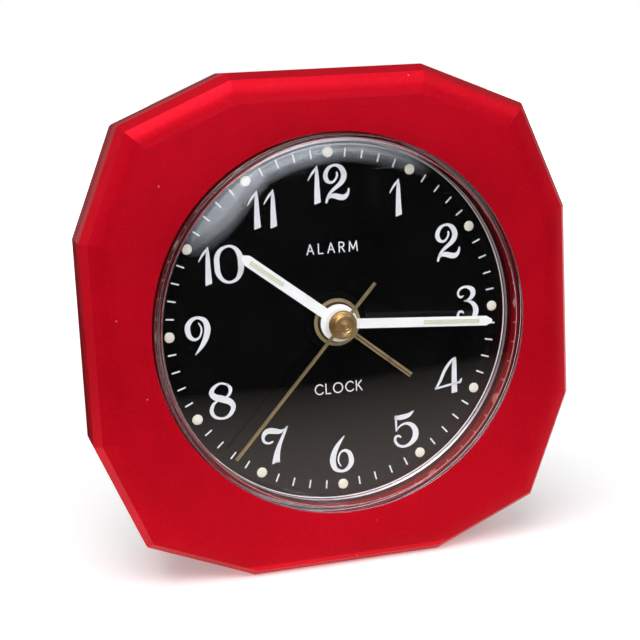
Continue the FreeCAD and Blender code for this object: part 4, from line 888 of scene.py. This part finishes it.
def make_crystal():
    """The clear cover: dome, narrow shoulder, grooved wall and flange in one moulding."""
    flange, front, back = crystal_sides()
    wall, bore, thick = LENS_WALL, LENS_BORE, LENS_THICK
    shoulder, shoulder_round, throat_round = front + 1.6, 0.40, 0.45
    flange_front = back - 1.1
    outer = dome_line(wall - 0.45, shoulder - 0.04, front)
    inner = dome_line(bore - 0.35, shoulder + thick, front + thick)
    # outside, from the axis to the flange; then inside, back to the axis
    profile = outer[:-1]
    profile += fillet(outer[-2], (wall, shoulder), (wall, flange_front), shoulder_round)
    first_groove, pitch, deep, slant, mouth = 0.75, 0.34, 0.07, 0.05, 0.20
    for step in range(3):
        groove = shoulder + first_groove + pitch * step
        profile += [(wall, groove), (wall - deep, groove + slant),
                    (wall - deep, groove + (mouth - slant)), (wall, groove + mouth)]
    profile += [(wall, flange_front), (flange, flange_front), (flange, back), (bore, back)]
    # a rib inside the bore, near the dial
    rib = 0.09
    profile += [(bore, back - 0.25), (bore - rib, back - 0.32),
                (bore - rib, back - 0.50), (bore, back - 0.57)]
    profile += fillet(
        (bore, back - 1.05), (bore, shoulder + thick + 0.02), inner[-2], throat_round)
    profile += inner[-2::-1]
    lens = revolve("crystal_lens", profile, "case", "clear_acrylic", 288, False, 25)
    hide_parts("crystal")


def make_glints():
    """Thin rings that stand in for light caught in the crystal's wall: a pinkish silver ring and a
    faintly glowing pale edge as painted highlights, and a maroon ring as painted reflection of the red
    frame.
    """
    flange, _, back = crystal_sides()
    inside_bore, inside_wall = LENS_BORE + 0.52, LENS_WALL - 0.04
    # painted highlight: a pinkish silver ring for the light caught in the outer wall
    wall_glint = [(inside_bore, back - 0.06), (inside_wall, back - 0.70), (inside_wall, back - 0.06)]
    glint_silver = metal("crystal_glint", (0.86, 0.74, 0.79), (0.66, 0.52, 0.58), (0.2, 0.4))
    # painted highlight: a pale, faintly glowing ring for the light at the foot of the bore
    edge = [(LENS_BORE - 0.18, back), (LENS_BORE, back - 0.10), (LENS_BORE, back)]
    glint_pearl = ink("crystal_edge", (0.90, 0.88, 0.87), (0.70, 0.64, 0.63), Emission_Strength=0.05)
    # the margin ring lies in the clearance behind the flange; its maroon is painted reflection of the
    # red frame, seen dimly through the crystal's wall
    inner, near, far = LENS_BORE + 0.10, back + 0.01, back + 0.035
    margin = [(inner, far), (inner, near), (flange, near), (flange, far)]
    maroon = painted_red(
        "margin_red_reflection", (0.30, 0.004, 0.016), (0.20, 0.002, 0.010), (0.42, 0.012, 0.03))
    revolve("crystal_wall_glint", wall_glint, "case", "clear_acrylic", finish=glint_silver)
    revolve("crystal_edge", edge, "case", "clear_acrylic", finish=glint_pearl)
    revolve("margin_reflection_ring", margin, "case", "red_case", finish=maroon)


def make_cap():
    """The turned brass cap: a flange, a round body and a face with rings."""
    low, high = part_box("second_cap")
    radius, back = (high.x - low.x) / 2 / MM, high.y / MM
    front = back - 1.6
    face = radius - 0.38
    # radius and distance behind the front
    rings = ((0.0, 0.14), (0.22, 0.14), (0.30, 0.05), (0.60, 0.11), (0.68, 0.03), (1.02, 0.10),
             (1.12, 0.02), (face - 0.14, 0.0), (face, 0.10))
    # radius and distance in front of the back
    flange = ((face + 0.06, 0.55), (radius + 0.10, 0.45), (radius + 0.18, 0.30),
              (radius + 0.18, 0.05), (radius + 0.08, 0.0), (0.0, 0.0))
    profile = [(r, front + y) for r, y in rings] + [(r, back - y) for r, y in flange]
    cap = revolve("turned_cap", profile, "seconds", "brass", 96, False, 28)
    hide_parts("second_cap")


make_crystal()
make_glints()
make_cap()


# ---------------------------------------------------------------- stage, light and camera

def card(name, mesh, paint):
    """A card that only reflections see: part of the studio."""
    made = built(name, mesh, paint)
    made.visible_camera = made.visible_diffuse = made.visible_shadow = False


def flat(x0, x1, edges):
    """A flat card's mesh, from x0 to x1 between two edges of (y, z)."""
    mesh = bmesh.new()
    (y0, z0), (y1, z1) = edges
    corners = ((x0, y0, z0), (x1, y0, z0), (x1, y1, z1), (x0, y1, z1))
    mesh.faces.new([mesh.verts.new(corner) for corner in corners])
    return mesh


def matt(name, color):
    """A finish without shine, for the studio."""
    return Finish(name, color, 0.95, Specular_IOR_Level=0.0)


def window():
    """A bright window far in front, which the rim of the crystal's dome mirrors."""
    away = -2.0
    # across, height of the sill and share of the brightness there, from left to right
    sill = ((-0.04, -0.02, 0.0), (0.06, 0.03, 0.35), (0.14, 0.08, 0.42), (0.20, 0.14, 0.5),
            (0.25, 0.21, 0.65), (0.32, 0.275, 0.9), (0.42, 0.315, 1.1), (0.52, 0.335, 1.1),
            (0.65, 0.345, 0.8), (0.80, 0.32, 0.5), (0.92, 0.285, 0.35), (1.05, 0.225, 0.0))
    # height above the sill and brightness there
    rows = ((-0.02, 0.0), (0.005, 4.0), (0.018, 6.0), (0.034, 12.0), (0.12, 12.0), (0.17, 0.0))
    mesh = bmesh.new()
    glow = mesh.verts.layers.float.new("glow")
    grid = []
    for x, z, share in sill:
        column = []
        for above, strength in rows:
            vertex = mesh.verts.new((x, away, z + above))
            vertex[glow] = strength * share
            column.append(vertex)
        grid.append(column)
    for left, right in zip(grid, grid[1:]):
        for k in range(len(rows) - 1):
            mesh.faces.new((left[k], right[k], right[k + 1], left[k + 1]))
    paint = matt("window_light", (0.0, 0.0, 0.0))
    level = paint.add("ShaderNodeAttribute", attribute_name="glow")
    paint.shader.inputs["Emission Color"].default_value = (0.86, 0.91, 1.0, 1)
    paint.join(level.outputs["Fac"], paint.shader.inputs["Emission Strength"])
    card("window", mesh, paint.material)


def make_floor():
    """A pale floor that glows: painted light, weaker near the clock and brighter away from it."""
    paper = Finish("paper", (0.90, 0.90, 0.90), 0.9)
    paper.tint(paper.noise(60.0, 3.0), (0.87, 0.87, 0.875), 0.4)
    away = paper.add("ShaderNodeVectorMath", operation="LENGTH")
    paper.join(paper.place, away.inputs[0])
    # painted light: the floor's glow rises with distance from the origin
    paper.shader.inputs["Emission Color"].default_value = (1, 1, 1, 1)
    glow = paper.ranged(away.outputs["Value"], 0.1, 0.9, 0.30, 0.95)
    paper.join(glow, paper.shader.inputs["Emission Strength"])
    mesh = bmesh.new()
    bmesh.ops.create_circle(mesh, cap_ends=True, radius=4.0, segments=64)
    built("floor", mesh, paper.material)


def make_cards():
    """What the crystal mirrors: a dark room, and a glowing card of painted reflection for the lit table
    just in front of the clock.
    """
    cloth = matt("dark_cloth", (0.006, 0.006, 0.006))
    cloth.tint(cloth.noise(40.0, 3.0), (0.012, 0.012, 0.012), 0.6)
    low, edge, far = 0.002, -0.112, -2.7
    card("dark_card", flat(-1.5, 2.6, ((far, low), (edge, low))), cloth.material)
    card("dark_wall", flat(-1.6, 2.8, ((far, 0.0), (far, 0.9))), cloth.material)
    card("dark_back", flat(-1.4, -0.02, ((0.03, low), (1.6, low))), cloth.material)

    # painted reflection of a lit table: a card that glows, brighter towards the clock
    table_glow = matt("table_glow_card", (0.01, 0.01, 0.01))
    table_glow.shader.inputs["Emission Color"].default_value = (1.0, 0.86, 0.79, 1)
    glow = table_glow.ranged(table_glow.parts()["Y"], edge, -0.02, 0.08, 0.66)
    table_glow.join(glow, table_glow.shader.inputs["Emission Strength"])
    card("table_glow_card", flat(-0.3, 0.4, ((edge, low), (0.0, low))), table_glow.material)


def make_world():
    """White to the camera, and dim soft light to everything else."""
    world = bpy.data.worlds.new("studio")
    bpy.context.scene.world = world
    world.use_nodes = True
    tree = world.node_tree
    soft = tree.nodes["Background"]
    seen = tree.nodes.new("ShaderNodeBackground")
    for background, strength in ((soft, 0.28), (seen, 1.0)):
        background.inputs["Color"].default_value = (1, 1, 1, 1)
        background.inputs["Strength"].default_value = strength
    path = tree.nodes.new("ShaderNodeLightPath")
    mix = tree.nodes.new("ShaderNodeMixShader")
    tree.links.new(path.outputs["Is Camera Ray"], mix.inputs["Fac"])
    tree.links.new(soft.outputs[0], mix.inputs[1])
    tree.links.new(seen.outputs[0], mix.inputs[2])
    tree.links.new(mix.outputs[0], tree.nodes["World Output"].inputs["Surface"])


def aimed(made, toward):
    """Turns a lamp or the camera to look along a direction."""
    made.rotation_mode = "QUATERNION"
    made.rotation_quaternion = Vector(toward).to_track_quat("-Z", "Y")


def softbox(name, where, width, height, power, color=(1, 1, 1)):
    """A rectangular lamp aimed at the middle of the dial."""
    lamp = bpy.data.lights.new(name, "AREA")
    lamp.shape = "RECTANGLE"
    lamp.size, lamp.size_y = width, height
    lamp.energy = power
    lamp.color = color
    made = placed(name, lamp)
    made.location = where
    aimed(made, AXIS - Vector(where))
    made.visible_camera = False


def sun(name, toward, strength, spread):
    """Parallel light, softened over spread degrees."""
    lamp = bpy.data.lights.new(name, "SUN")
    lamp.energy = strength
    lamp.angle = math.radians(spread)
    aimed(placed(name, lamp), toward)


def camera(eye, aim, roll, lens):
    """The photo's view: places in metres, roll in degrees, lens in millimetres."""
    data = bpy.data.cameras.new("camera")
    data.sensor_width = 36.0
    data.lens = lens
    data.clip_start, data.clip_end = 0.01, 20.0
    made = placed("camera", data)
    made.location = eye
    aimed(made, Vector(aim) - Vector(eye))
    made.rotation_quaternion @= Matrix.Rotation(math.radians(roll), 4, "Z").to_quaternion()
    bpy.context.scene.camera = made


make_floor()
make_cards()
window()
make_world()
softbox("key", (-0.35, -0.55, 1.0), 0.9, 0.7, 4.8)
softbox("fill", (0.2, -1.2, 1.15), 2.6, 0.5, 9.6, (0.93, 0.96, 1.0))
softbox("side", (-1.0, 0.1, 0.5), 0.5, 0.9, 0.8)
sun("overhead", (0.25, 0.35, -1.0), 0.9, 50)
camera((-0.06626, -0.22208, 0.08255), (-0.0037, -0.005, 0.04242), -2.804, 79.53)

bpy.context.scene.view_settings.view_transform = "Standard"
